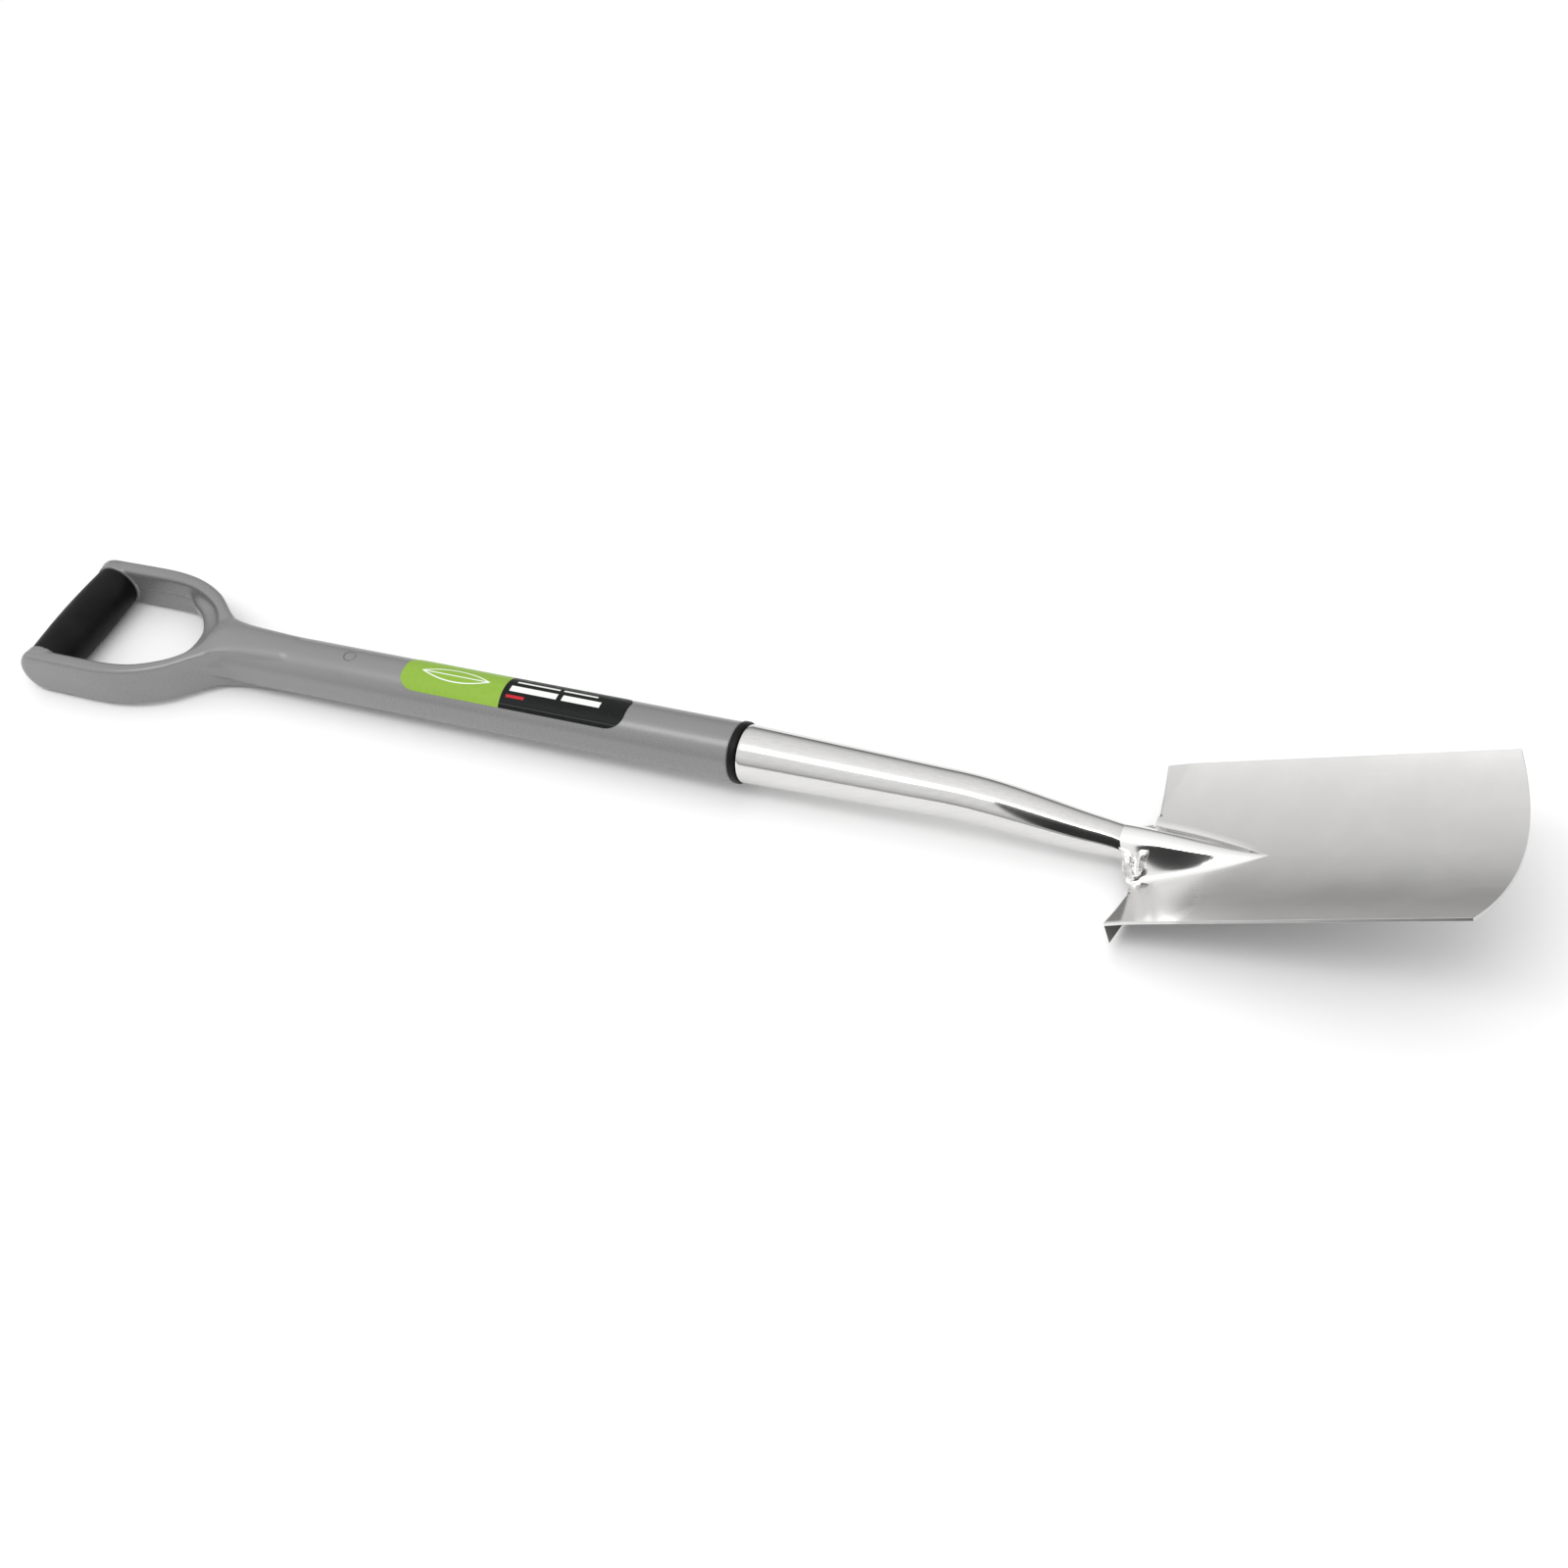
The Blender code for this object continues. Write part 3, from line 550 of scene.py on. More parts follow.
def polish_and_painted_sheen_at(p):
    """How bright the sheet is: mirror on the frog and the treads, and at one corner half polished and
    painted lighter, a painted reflection.
    """
    patch = PATCH_LENGTH + PATCH_WAVE * math.sin(90 * p.y)
    # Painted reflection: the near corner patch is smoother and painted lighter
    corner = PATCH_POLISH_AND_SHEEN * smooth((patch - p.x) / PATCH_FADE) * smooth(-p.y / 0.02)
    tread = smooth((0.0015 - p.x) / 0.002)
    wide = frog_scale(max(p.x, 0.0))[0]
    frog = 0.0
    if p.x < FROG_LENGTH:
        frog = smooth((1.06 - abs(p.y) / max(0.0008, FROG_HALF * wide)) / 0.1)
    return max(corner, tread, frog)


def facet_painted_shade_at(p):
    """How dark the pressed facet beside the right fold is painted, as painted shade for the dark
    surroundings it reflects, from the notch to the blade's edge.
    """
    if p.y > 0:
        return 0.0
    share = tread_share(p.y)
    far_edge = FOLD_RADIUS + 0.6 * FACET_LENGTH * share
    inside = smooth((far_edge - p.x) / 0.0014) * smooth((p.x + 0.001) / 0.002)
    return FACET_PAINTED_SHADE * inside * smooth(share / 0.04) * smooth((0.97 - share) / 0.05)


def tread_chord(y):
    inner, outer = (dish_height(FOLD_RADIUS, end) for end in (TREAD_START, SHOULDER_HALF))
    return inner + (outer - inner) * tread_share(y)


def tread_edge(y):
    depth = TREAD_DEPTH + (TREAD_DEPTH_OUTER - TREAD_DEPTH) * tread_share(y)
    lean = (depth - FOLD_RADIUS * (1 - math.cos(FOLD))) / math.tan(FOLD)
    splay = FOLD_SPLAY * tread_share(y) * (1 - FOLD_RADIUS / FROG_LENGTH)
    return Vector((FOLD_RADIUS * (1 - math.sin(FOLD)) - splay - lean, y, tread_chord(y) - depth))


def add_rows(verts, faces, before, lines):
    """Adds lines of points beyond a row of the sheet, towards the handle."""
    for line in lines:
        after = list(range(len(verts), len(verts) + len(line)))
        verts.extend(line)
        for k in range(len(line) - 1):
            faces.append((after[k], before[k], before[k + 1], after[k + 1]))
        before = after


def tread_lines(top):
    lines = []
    steps = 10
    for i in range(1, steps + 1):
        turn = FOLD * i / steps
        line = []
        for p in top:
            bulge = (p.z - tread_chord(p.y)) / math.tan(FOLD) * i / steps
            x = p.x - FOLD_RADIUS * math.sin(turn) + bulge
            line.append(Vector((x, p.y, p.z - FOLD_RADIUS * (1 - math.cos(turn)))))
        lines.append(line)
    last = lines[-1]
    for share in (0.3, 0.6, 0.9, 0.97, 1.0):
        lines.append([p.lerp(tread_edge(p.y), share) for p in last])
    return lines


def make_blade(mat, back_mat):
    columns = blade_columns()
    count = len(columns)
    frog_rows, plain_rows = 64, 60
    rows = [FOLD_RADIUS + (FROG_LENGTH - FOLD_RADIUS) * i / frog_rows for i in range(frog_rows)]
    rows += [FROG_LENGTH + (SIDE_LENGTH - FROG_LENGTH) * i / plain_rows for i in range(plain_rows + 1)]
    verts = [front_point(x, column) for x in rows for column in columns]
    faces = []
    for row in range(len(rows) - 1):
        for i in range(count - 1):
            a = row * count + i
            faces.append((a, a + count, a + count + 1, a + 1))
    notch = (NOTCH_START + TREAD_START) / 2
    throat = [i for i in range(count) if abs(verts[i].y) < notch]
    lines = []
    for step in (0.35, 0.7, 1.0):
        line = []
        for i in throat:
            height = columns[i][2]
            edge = -THROAT_LEAN * (0.6 * smooth(18 * height) + 0.4 * smooth(1.6 * height - 0.4))
            line.append(front_point(FOLD_RADIUS + (edge - FOLD_RADIUS) * step, columns[i]))
        lines.append(line)
    add_rows(verts, faces, throat, lines)
    for tread in (range(0, throat[0]), range(throat[-1] + 1, count)):
        add_rows(verts, faces, list(tread), tread_lines([verts[i].copy() for i in tread]))
    blade = make_piece("blade_sheet", verts, faces, BLADE_FRAME, mat, "blade")
    blade.data.materials.append(back_mat)
    # Polish, with a painted reflection at the right corner
    set_attribute(blade, "polish_and_painted_sheen", [polish_and_painted_sheen_at(p) for p in verts])
    # Painted shade on the facet beside the right fold
    set_attribute(blade, "facet_painted_shade", [facet_painted_shade_at(p) for p in verts])
    thick = blade.modifiers.new("sheet", "SOLIDIFY")
    thick.thickness = SHEET
    thick.offset = -1
    thick.use_even_offset = True
    thick.material_offset = 1
    rim = blade.modifiers.new("rim", "BEVEL")
    rim.width = 0.0003
    rim.segments = 2
    rim.limit_method = "ANGLE"
    rim.angle_limit = math.radians(50)
    rim.harden_normals = True
    return blade


# ---- socket and welds ----

def shaft_point(s, up=0.0):
    """A point of the shaft line in the blade's frame."""
    along = Vector((-math.cos(LIFT), 0, math.sin(LIFT)))
    rise = Vector((math.sin(LIFT), 0, math.cos(LIFT)))
    return Vector((0, 0, SHAFT_HEIGHT)) + along * s + rise * up


def socket_center(s):
    t = (SOCKET_BEND_START - s) / (SOCKET_BEND_START - SOCKET_BEND_END)
    return shaft_point(s, -SOCKET_BEND_DROP * smooth(t))


def plain_socket_radius(s):
    if s > SOCKET_BEND_START:
        share = (s - SOCKET_BEND_START) / (SOCKET_TOP - SOCKET_BEND_START)
        return SOCKET_MIDDLE_RADIUS + (SOCKET_TOP_RADIUS - SOCKET_MIDDLE_RADIUS) * share
    share = ((SOCKET_BEND_START - s) / (SOCKET_BEND_START - SOCKET_TAPER_END)) ** 1.7
    return SOCKET_MIDDLE_RADIUS + (SOCKET_THROAT_RADIUS - SOCKET_MIDDLE_RADIUS) * share


def socket_radius(s):
    """The taper, averaged along a short stretch so that no crease shows where it changes."""
    spread = [SOCKET_SOFTEN * (i / 4 - 1) for i in range(9)]
    ends = min(1.0, (SOCKET_TOP - s) / SOCKET_SOFTEN)
    return sum(plain_socket_radius(s + d * ends) for d in spread) / len(spread)


def nested_ring(x, inset, under=True):
    """The tube below the frog; just outside the throat it stands level with the frog instead."""
    ridge = SHEET + FROG_HEIGHT * frog_scale(x)[1]
    top = ridge - SHEET * 1.15 - CLEARANCE if under else ridge - 0.0002
    bottom = NESTED_BOTTOM * (1 - x / SOCKET_TIP) - NESTED_SINK
    half_across = (NESTED_HALF * (1 - x / FROG_LENGTH) ** 0.96 if under else JOINT_HALF) - inset
    center = Vector((x, 0, (top + bottom) / 2))
    return circle(center, Vector((1, 0, 0)), Vector((0, 1, 0)), half_across, (top - bottom) / 2 - inset)


def socket_ring_at(s, inset):
    step = 0.002
    along = (socket_center(s - step) - socket_center(s + step)).normalized()
    radius = socket_radius(s) - inset
    return circle(socket_center(s), along, Vector((0, 1, 0)), radius, radius)


def through_rings(rings, steps):
    """More rings on smooth curves through the points of a few, at even pace between them."""
    rings = [np.array([tuple(p) for p in ring]) for ring in rings]
    place = [0.0]
    for a, b in zip(rings, rings[1:]):
        place.append(place[-1] + np.linalg.norm(b.mean(0) - a.mean(0)))
    slopes = []
    for k in range(len(rings)):
        before, after = max(0, k - 1), min(len(rings) - 1, k + 1)
        slopes.append((rings[after] - rings[before]) / (place[after] - place[before]))
    result = []
    for k in range(len(rings) - 1):
        gap = place[k + 1] - place[k]
        for i in range(steps):
            t = i / steps
            share = 3 * t ** 2 - 2 * t ** 3
            leaving, arriving = t ** 3 - 2 * t ** 2 + t, t ** 3 - t ** 2
            result.append(rings[k] * (1 - share) + rings[k + 1] * share
                          + (slopes[k] * leaving + slopes[k + 1] * arriving) * gap)
    result.append(rings[-1])
    return [[Vector(p) for p in ring] for ring in result]


def make_socket(mat):
    last = 0.018
    places = [SOCKET_TOP - 0.0004 - (SOCKET_TOP - SOCKET_BEND_START) * i / 16 for i in range(16)]
    places += [SOCKET_BEND_START + (last - SOCKET_BEND_START) * i / 14 for i in range(15)]
    nested = [-0.0030, 0.003, 0.013, 0.024, 0.035, SOCKET_TIP]
    outer = through_rings([socket_ring_at(s, 0) for s in places] + [nested_ring(JOINT_X, 0, False)], 3)
    outer += through_rings([nested_ring(x, 0) for x in nested], 3)
    inner = through_rings([socket_ring_at(s, SOCKET_WALL) for s in places]
                          + [nested_ring(x, SOCKET_WALL) for x in nested[:3]], 2)
    lip = socket_ring_at(SOCKET_TOP, 0.0004)
    verts, faces = loft(list(reversed(inner)) + [socket_ring_at(SOCKET_TOP, SOCKET_WALL), lip] + outer)
    return make_piece("socket_tube", verts, faces, BLADE_FRAME, mat, "socket", 50)


def flank_point(x, down):
    """A point of the frog's left flank: down runs from 0 on its ridge to 1 at its foot."""
    section = frog_section()
    place = down * (len(section) - 1)
    low = min(int(place), len(section) - 2)
    start, end = (("frog", *section[k]) for k in (low, low + 1))
    return front_point(x, start).lerp(front_point(x, end), place - low)


def weld_height(u, v, bumps):
    """The lump's height, u across it and v down it: two lobes with a dip between, and small bumps."""
    narrow = 0.25 + 0.75 * math.sin(math.pi * min(1.0, 0.18 + 0.82 * (1 - v))) ** 0.6
    lobe = 1 - 0.55 * math.exp(-((u - 0.58) / 0.10) ** 2) * (1 - smooth(v / 0.45))
    height = WELD_HEIGHT * narrow * lobe * (math.sin(math.pi * u) * math.sin(math.pi * v)) ** 0.4
    fade = (4 * u * (1 - u)) ** 0.5
    for bu, bv, size, tall in bumps:
        height += tall * math.exp(-((u - bu) ** 2 + (v - bv) ** 2) / size ** 2) * fade
    return max(height, 0.00005)


def make_flank_weld(name, node, side, mat, seed, start):
    """The lump of weld over the throat's edge: two uneven lobes that taper down the flank."""
    random = np.random.default_rng(seed)
    along_steps, down_steps = 40, 48
    bumps = [(random.uniform(0.1, 0.9), random.uniform(0.1, 0.9), random.uniform(0.06, 0.14),
              random.uniform(-WELD_BUMP, WELD_BUMP)) for _ in range(22)]
    top, under = [], []
    step, turn = 0.0006, 0.01
    for j in range(down_steps + 1):
        v = j / down_steps
        upper, lower = [], []
        left = -WELD_BEHIND + 0.0060 * v ** 1.5 + 0.0007 * math.sin(9 * v)
        right = WELD_AHEAD * (1 - v ** 2.4) + WELD_FOOT_AHEAD + 0.0008 * math.sin(14 * v + 1)
        for i in range(along_steps + 1):
            u = i / along_steps
            x = left + (right - left) * u
            dip = WELD_DIP * math.exp(-((u - 0.52) / 0.13) ** 2) * (1 - v)
            down = (start + (WELD_FOOT - start) * v + dip) / SECTION_STEPS
            run = (flank_point(x + step, down) - flank_point(x - step, down)).normalized()
            fall = (flank_point(x, down + turn) - flank_point(x, down - turn)).normalized()
            base, out = flank_point(x, down), run.cross(fall).normalized()
            upper.append(base + out * weld_height(u, v, bumps))
            lower.append(base - out * WELD_UNDER)
        top.append(upper)
        under.append(lower)
    count = along_steps + 1
    verts = [Vector((p.x, side * p.y, p.z)) for line in top + under for p in line]
    faces = []
    half = count * (down_steps + 1)
    for j in range(down_steps):
        for i in range(along_steps):
            a = j * count + i
            faces.append((a, a + 1, a + count + 1, a + count))
            faces.append((half + a + count, half + a + count + 1, half + a + 1, half + a))
    border = list(range(count)) + [j * count + along_steps for j in range(1, down_steps + 1)]
    border += [down_steps * count + i for i in range(along_steps - 1, -1, -1)]
    border += [j * count for j in range(down_steps - 1, 0, -1)]
    for a, b in zip(border, border[1:] + border[:1]):
        faces.append((b, a, half + a, half + b))
    if side > 0:
        faces = [tuple(reversed(face)) for face in faces]
    return make_piece(name, verts, faces, BLADE_FRAME, mat, node)


def make_back_weld(mat):
    """The uneven bead across the tube's flattened end, behind the frog."""
    rings = []
    steps = 40
    for i in range(steps + 1):
        share = 2 * i / steps - 1
        ripple = 1 + 0.12 * math.cos(26 * share)
        center = Vector((SOCKET_TIP + 0.0021, 0.0048 * share, 0.0006))
        radius = 0.0013 * math.sqrt(1.05 - share * share) * ripple
        rings.append(circle(center, Vector((0, 1, 0)), Vector((1, 0, 0)), radius, radius * 1.3, 24))
    verts, faces = loft(rings)
    return make_piece("tube_end_weld", verts, faces, BLADE_FRAME, mat, "weld_bead_back")


# ---- shaft and D-handle, one moulding ----

def mirrored(half):
    near = [(s, -y) for s, y in reversed(half) if y > 0]
    return [(s, y) for s, y in half] + near


def outline_distance(s, y, outline):
    """Distance to a closed outline, negative inside."""
    nearest = np.full(s.shape, 1.0)
    inside = np.zeros(s.shape, bool)
    for (as_, ay), (bs, by) in zip(outline, outline[1:] + outline[:1]):
        es, ey = bs - as_, by - ay
        ws, wy = s - as_, y - ay
        t = np.clip((ws * es + wy * ey) / (es * es + ey * ey), 0, 1)
        nearest = np.minimum(nearest, (ws - es * t) ** 2 + (wy - ey * t) ** 2)
        if ey != 0:
            inside ^= ((ay > y) != (by > y)) & (s < es * wy / ey + as_)
    return np.where(inside, -1, 1) * np.sqrt(nearest)


def soft_min(a, b, width):
    share = np.clip(0.5 + 0.5 * (b - a) / width, 0, 1)
    return b + (a - b) * share - width * share * (1 - share)


def soft_max(a, b, width):
    return -soft_min(-a, -b, width)


def corner_distance(a, b):
    """Distance to the outside corner of two surfaces at right angles."""
    return np.minimum(np.maximum(a, b), 0) + np.hypot(np.maximum(a, 0), np.maximum(b, 0))


OUTER = mirrored([tuple(p) for p in catmull(OUTER_OUTLINE, 4)] + [(GRIP_S + 0.03, OUTER_OUTLINE[-1][1])])
OPENING = mirrored([tuple(p) for p in catmull(OPENING_OUTLINE, 4)] + [(GRIP_S + 0.04, ARM_INNER)])


def handle_plate(s, y, z):
    """The flat D with its rounded rims, and a throat that swells into the opening at mid-depth."""
    high = np.abs(z + HANDLE_DROP)
    rim_start = HANDLE_DEPTH - HANDLE_RIM
    swell = THROAT_SWELL * smooth((rim_start + 0.001 - high) / (rim_start - 0.002))
    moved = s.copy()
    for _ in range(4):
        moved = s - swell * smooth((THROAT_END - moved) / 0.040)
    flat = soft_max(outline_distance(s, y, OUTER), -outline_distance(moved, y, OPENING), 0.001)
    plate = corner_distance(flat + HANDLE_RIM, high - rim_start)
    round_end = np.hypot(np.maximum(s - GRIP_S, 0), z + HANDLE_DROP) - HANDLE_DEPTH
    return soft_max(plate - HANDLE_RIM, round_end, 0.006)


def handle_field(points):
    """Distance to the whole moulding's skin, roughly, for points in the shaft's frame."""
    s, y, z = -points[:, 0], points[:, 1], points[:, 2]
    ring = np.hypot(y, z)
    end, foot = SHAFT_END_ROUND, SHAFT_FOOT_ROUND
    shaft = corner_distance(s - (SHAFT_END - end), ring - (SHAFT_RADIUS - end)) - end
    cut = corner_distance(SHAFT_FOOT + foot - s, ring - SHAFT_RADIUS + foot) - foot
    shaft = np.maximum(shaft, cut)
    share = (s - SOCKET_BEND_START) / (SOCKET_TOP - SOCKET_BEND_START)
    inside_socket = SOCKET_MIDDLE_RADIUS + (SOCKET_TOP_RADIUS - SOCKET_MIDDLE_RADIUS) * share
    spigot = ring - (inside_socket - SOCKET_WALL - 2 * CLEARANCE)
    spigot = np.maximum(np.maximum(spigot, SPIGOT_FOOT - s), s - SHAFT_FOOT - 0.01)
    field = np.minimum(shaft, spigot)
    near = s > HANDLE_START
    if near.any():
        s, y, z = s[near], y[near], z[near]
        high = np.abs(z + HANDLE_DROP)
        firm = smooth((high - 0.003) / 0.006) * smooth((0.0170 - high) / 0.004)
        blend = BLEND_WIDE - (BLEND_WIDE - BLEND_NARROW) * firm
        body = soft_min(handle_plate(s, y, z), field[near], blend)
        arm = np.hypot(s - GRIP_S, z + HANDLE_DROP)
        bar = np.maximum(arm - CORE_RADIUS, np.abs(y) - ARM_INNER - 0.004)
        collar_edge = ARM_INNER - COLLAR_PROUD
        collar = soft_max(arm - COLLAR_RADIUS, np.abs(np.abs(y) - collar_edge - 0.003) - 0.003, 0.0006)
        field[near] = np.minimum(np.minimum(body, bar), collar)
    return field


def surface_net(field, low, high, step):
    """Quads over a field's zero level: one corner in each grid cell that the level passes through."""
    counts = [int(math.ceil((b - a) / step)) + 1 for a, b in zip(low, high)]
    axes = [a + step * np.arange(n) for a, n in zip(low, counts)]
    grid = np.stack(np.meshgrid(*axes, indexing="ij"), -1).reshape(-1, 3)
    inside = (field(grid) < 0).reshape(counts)
    nx, ny, nz = (n - 1 for n in counts)
    total = np.zeros((nx, ny, nz), int)
    for i, j, k in itertools.product((0, 1), repeat=3):
        total += inside[i:i + nx, j:j + ny, k:k + nz]
    mixed = (total > 0) & (total < 8)
    number = np.full(mixed.shape, -1)
    number[mixed] = np.arange(mixed.sum())
    points = np.array(low) + step * (np.argwhere(mixed) + 0.5)
    faces = []
    for axis in range(3):
        u, v = (axis + 1) % 3, (axis + 2) % 3
        before = np.take(inside, range(0, counts[axis] - 1), axis)
        after = np.take(inside, range(1, counts[axis]), axis)
        edges = np.argwhere(before != after)
        edges = edges[(edges[:, u] > 0) & (edges[:, v] > 0)]
        edges = edges[(edges[:, u] < counts[u] - 1) & (edges[:, v] < counts[v] - 1)]
        corners = []
        for du, dv in ((0, 0), (-1, 0), (-1, -1), (0, -1)):
            cell = edges.copy()
            cell[:, u] += du
            cell[:, v] += dv
            corners.append(number[tuple(cell.T)])
        quads = np.stack(corners, 1)
        leaving = before[tuple(edges.T)]
        quads[~leaving] = quads[~leaving][:, ::-1]
        faces.append(quads)
    return points, np.concatenate(faces)


def settle(points, field, rounds=5):
    """Moves points along the field's slope until they lie on its zero level."""
    small = 0.00005
    for _ in range(rounds):
        value = field(points)
        slope = np.stack([(field(points + small * np.eye(3)[a]) - field(points - small * np.eye(3)[a]))
                          / (2 * small) for a in range(3)], 1)
        steep = np.maximum((slope ** 2).sum(1), 0.05)
        move = slope * (value / steep)[:, None]
        size = np.linalg.norm(move, axis=1)
        points = points - move * np.minimum(1, 0.0006 / np.maximum(size, 1e-9))[:, None]
    return points


def make_handle(mat):
    step = 0.0013
    low = (-GRIP_S - HANDLE_DEPTH - 0.004, -0.0605, -0.0215)
    high = (-SPIGOT_FOOT + 0.004, 0.0605, 0.0215)
    points, faces = surface_net(handle_field, low, high, step)
    points = settle(points, handle_field)
    handle = make_piece("shaft_and_handle", points, faces, SHAFT_FRAME, mat, "shaft_handle")
    s, y = -points[:, 0], points[:, 1]
    inner = smooth((0.0025 - np.abs(outline_distance(s, y, OPENING))) / 0.001) * (s > 0.70)
    inner *= smooth((0.795 - s) / 0.01)
    set_attribute(handle, "inner", inner)
    return handle


# ---- grip, ring, plug, screw ----

def make_grip(mat):
    end = ARM_INNER - COLLAR_PROUD - CLEARANCE
    edge = 0.0012
    outer = []
    steps = 40
    for i in range(steps + 1):
        y = (end - edge) * (2 * i / steps - 1)
        swell = (GRIP_MIDDLE_RADIUS - GRIP_END_RADIUS) * math.cos(math.pi / 2 * y / end)
        outer.append((y, GRIP_END_RADIUS + swell))
    corner = [(end - edge + edge * math.sin(t), GRIP_END_RADIUS - edge + edge * math.cos(t))
              for t in (math.pi * k / 12 for k in range(1, 7))]
    start = [(-y, r) for y, r in reversed(corner)]
    inner = CORE_RADIUS + CLEARANCE
    verts, faces = turned(start + outer + corner + [(end, inner), (-end, inner)], "Y",
                          (-GRIP_S, 0, -HANDLE_DROP))
    return make_piece("grip_sleeve", verts, faces, SHAFT_FRAME, mat, "soft_grip", 50)


def make_ring(mat):
    low, high = -SHAFT_FOOT + CLEARANCE, -SOCKET_TOP - CLEARANCE
    inner = SOCKET_TOP_RADIUS - SOCKET_WALL + CLEARANCE
    edge = 0.0012
    corner = [math.pi / 2 * k / 6 for k in range(7)]
    profile = [(low, inner)]
    profile += [(low + edge - edge * math.cos(t), RING_RADIUS - edge + edge * math.sin(t)) for t in corner]
    profile += [(high - edge + edge * math.sin(t), RING_RADIUS - edge + edge * math.cos(t)) for t in corner]
    profile += [(high, inner)]
    verts, faces = turned(profile, "X")
    return make_piece("rubber_ring", verts, faces, SHAFT_FRAME, mat, "socket_ring", 50)


def make_plug(mat):
    """A shallow dished disc with a groove round it, painted dark there as painted shade, which follows the
    shaft's curve.
    """
    # Share of the radius, height over the shaft's skin, and the painted shade in the groove
    rows = [(1.0, -0.0006, 0), (1.0, -0.0001, 0), (0.985, 0.00012, 0), (0.96, 0.00018, 0.3),
            (0.92, 0.00008, 1), (0.87, -0.00006, 1), (0.80, -0.00010, 1), (0.76, -0.00004, 0.2),
            (0.70, 0.00002, 0), (0.5, -0.00004, 0), (0.2, 0.0, 0), (0.02, 0.0, 0)]
    sides = 64
    rings, marks = [], []
    for share, height, groove_shade in rows:
        ring = []
        for i in range(sides):
            turn = 2 * math.pi * i / sides
            x, y = PLUG_RADIUS * share * math.cos(turn), PLUG_RADIUS * share * math.sin(turn)
            z = math.sqrt(SHAFT_RADIUS ** 2 - y * y) + height + 0.0001
            ring.append(Vector((-PLUG_S + x, y, z)))
            # Painted shade in the groove, heavier on the disc's -X side
            marks.append(groove_shade * (0.7 - 0.3 * math.cos(turn)))
        rings.append(ring)
    verts, faces = loft(rings)
    plug = make_piece("plug_disc", verts, faces, SHAFT_FRAME, mat, "vent_plug", 60)
    set_attribute(plug, "groove_shade", marks)
    return plug


def make_screw(mat):
    """A domed head with a hexagonal recess, and its shank."""
    seat = plain_socket_radius(SCREW_S) + CLEARANCE
    sides = 48

    def ring(radius, depth, corners=False):
        points = []
        for i in range(sides):
            turn = 2 * math.pi * i / sides
            r = radius
            if corners:
                r = radius * math.cos(math.pi / 6) / math.cos((turn % (math.pi / 3)) - math.pi / 6)
            points.append(Vector((-SCREW_S + r * math.cos(turn), r * math.sin(turn), -depth)))
        return points

    turned_rows = [(0.0017, -0.006), (0.0018, 0), (0.0044, 0), (0.0045, 0.0003), (0.0042, 0.0012),
                   (0.0036, 0.0018), (0.0028, 0.0021), (0.0022, 0.0022)]
    rings = [ring(radius, seat + depth) for radius, depth in turned_rows]
    rings += [ring(radius, seat + depth, True) for radius, depth in ((0.0020, 0.0021), (0.0019, 0.0008))]
    verts, faces = loft(rings)
    return make_piece("socket_screw_head", verts, faces, SHAFT_FRAME, mat, "socket_screw",
                      30)


# ---- label ----

def label_half_angle(place):
    """Half the label's angle round the shaft at a distance from its start, with rounded corners."""
    length = LABEL_END - LABEL_START
    short = max(0.0, LABEL_CORNER - min(place, length - place)) / LABEL_CORNER
    return LABEL_HALF_ANGLE * (0.35 + 0.65 * math.sqrt(max(0.0, 1 - short * short)))


def label_film():
    """Green and black print, from the place along the label and the arc from its top line."""
    shade = Shade("label_print", (0.24, 0.41, 0.055), 0.0, 0.4, IOR=1.22)
    s = shade.math("MULTIPLY", shade.split(shade.place)["X"], -1.0)
    arc = shade.attribute("arc")
    soft = 0.00015

    def above(value, edge):
        return shade.ramp(value, 0.0, 1.0, edge - soft, edge + soft)

    def inside(value, low, high):
        return shade.math("MULTIPLY", above(value, low), shade.math("SUBTRACT", 1.0, above(value, high)))

    def bar(low_s, high_s, low_arc, high_arc):
        return shade.math("MULTIPLY", inside(s, low_s, high_s), inside(arc, low_arc, high_arc))

    black = shade.math("SUBTRACT", 1.0, above(s, LABEL_SPLIT))
    fleck = shade.noise(300, detail=4)
    green = shade.mix(shade.ramp(fleck, 0.0, 1.0), (0.240, 0.405, 0.050), (0.254, 0.425, 0.055))
    dark = shade.mix(shade.ramp(fleck, 0.0, 1.0), (0.005, 0.006, 0.006), (0.008, 0.009, 0.009))
    dark = shade.mix(inside(arc, *THIN_LINE), dark, (0.05, 0.05, 0.05))
    color = shade.mix(black, green, dark)
    along = shade.math("DIVIDE", shade.math("SUBTRACT", s, LEAF_S), LEAF_HALF_LENGTH)
    bulge = shade.math("SUBTRACT", 1.0, shade.math("MULTIPLY", along, along))
    leaf = shade.math("MULTIPLY", bulge, LEAF_HALF_WIDTH)
    reach = shade.math("SUBTRACT", leaf, shade.math("ABSOLUTE", arc))
    outline = inside(reach, 0.0, LEAF_LINE)
    vein = shade.math("MULTIPLY", inside(shade.math("ABSOLUTE", arc), -1.0, VEIN_HALF), above(reach, 0.0))
    marks = shade.math("MAXIMUM", outline, vein)
    for white in WHITE_BARS:
        marks = shade.math("MAXIMUM", marks, bar(*white))
    color = shade.mix(marks, color, (0.80, 0.82, 0.79))
    color = shade.mix(bar(*RED_BAR), color, (0.50, 0.02, 0.03))
    shade.color(color)
    shade.roughness(shade.ramp(fleck, 0.30, 0.42))
    shade.bump((shade.noise(90, detail=3), 0.00004))
    return shade.mat


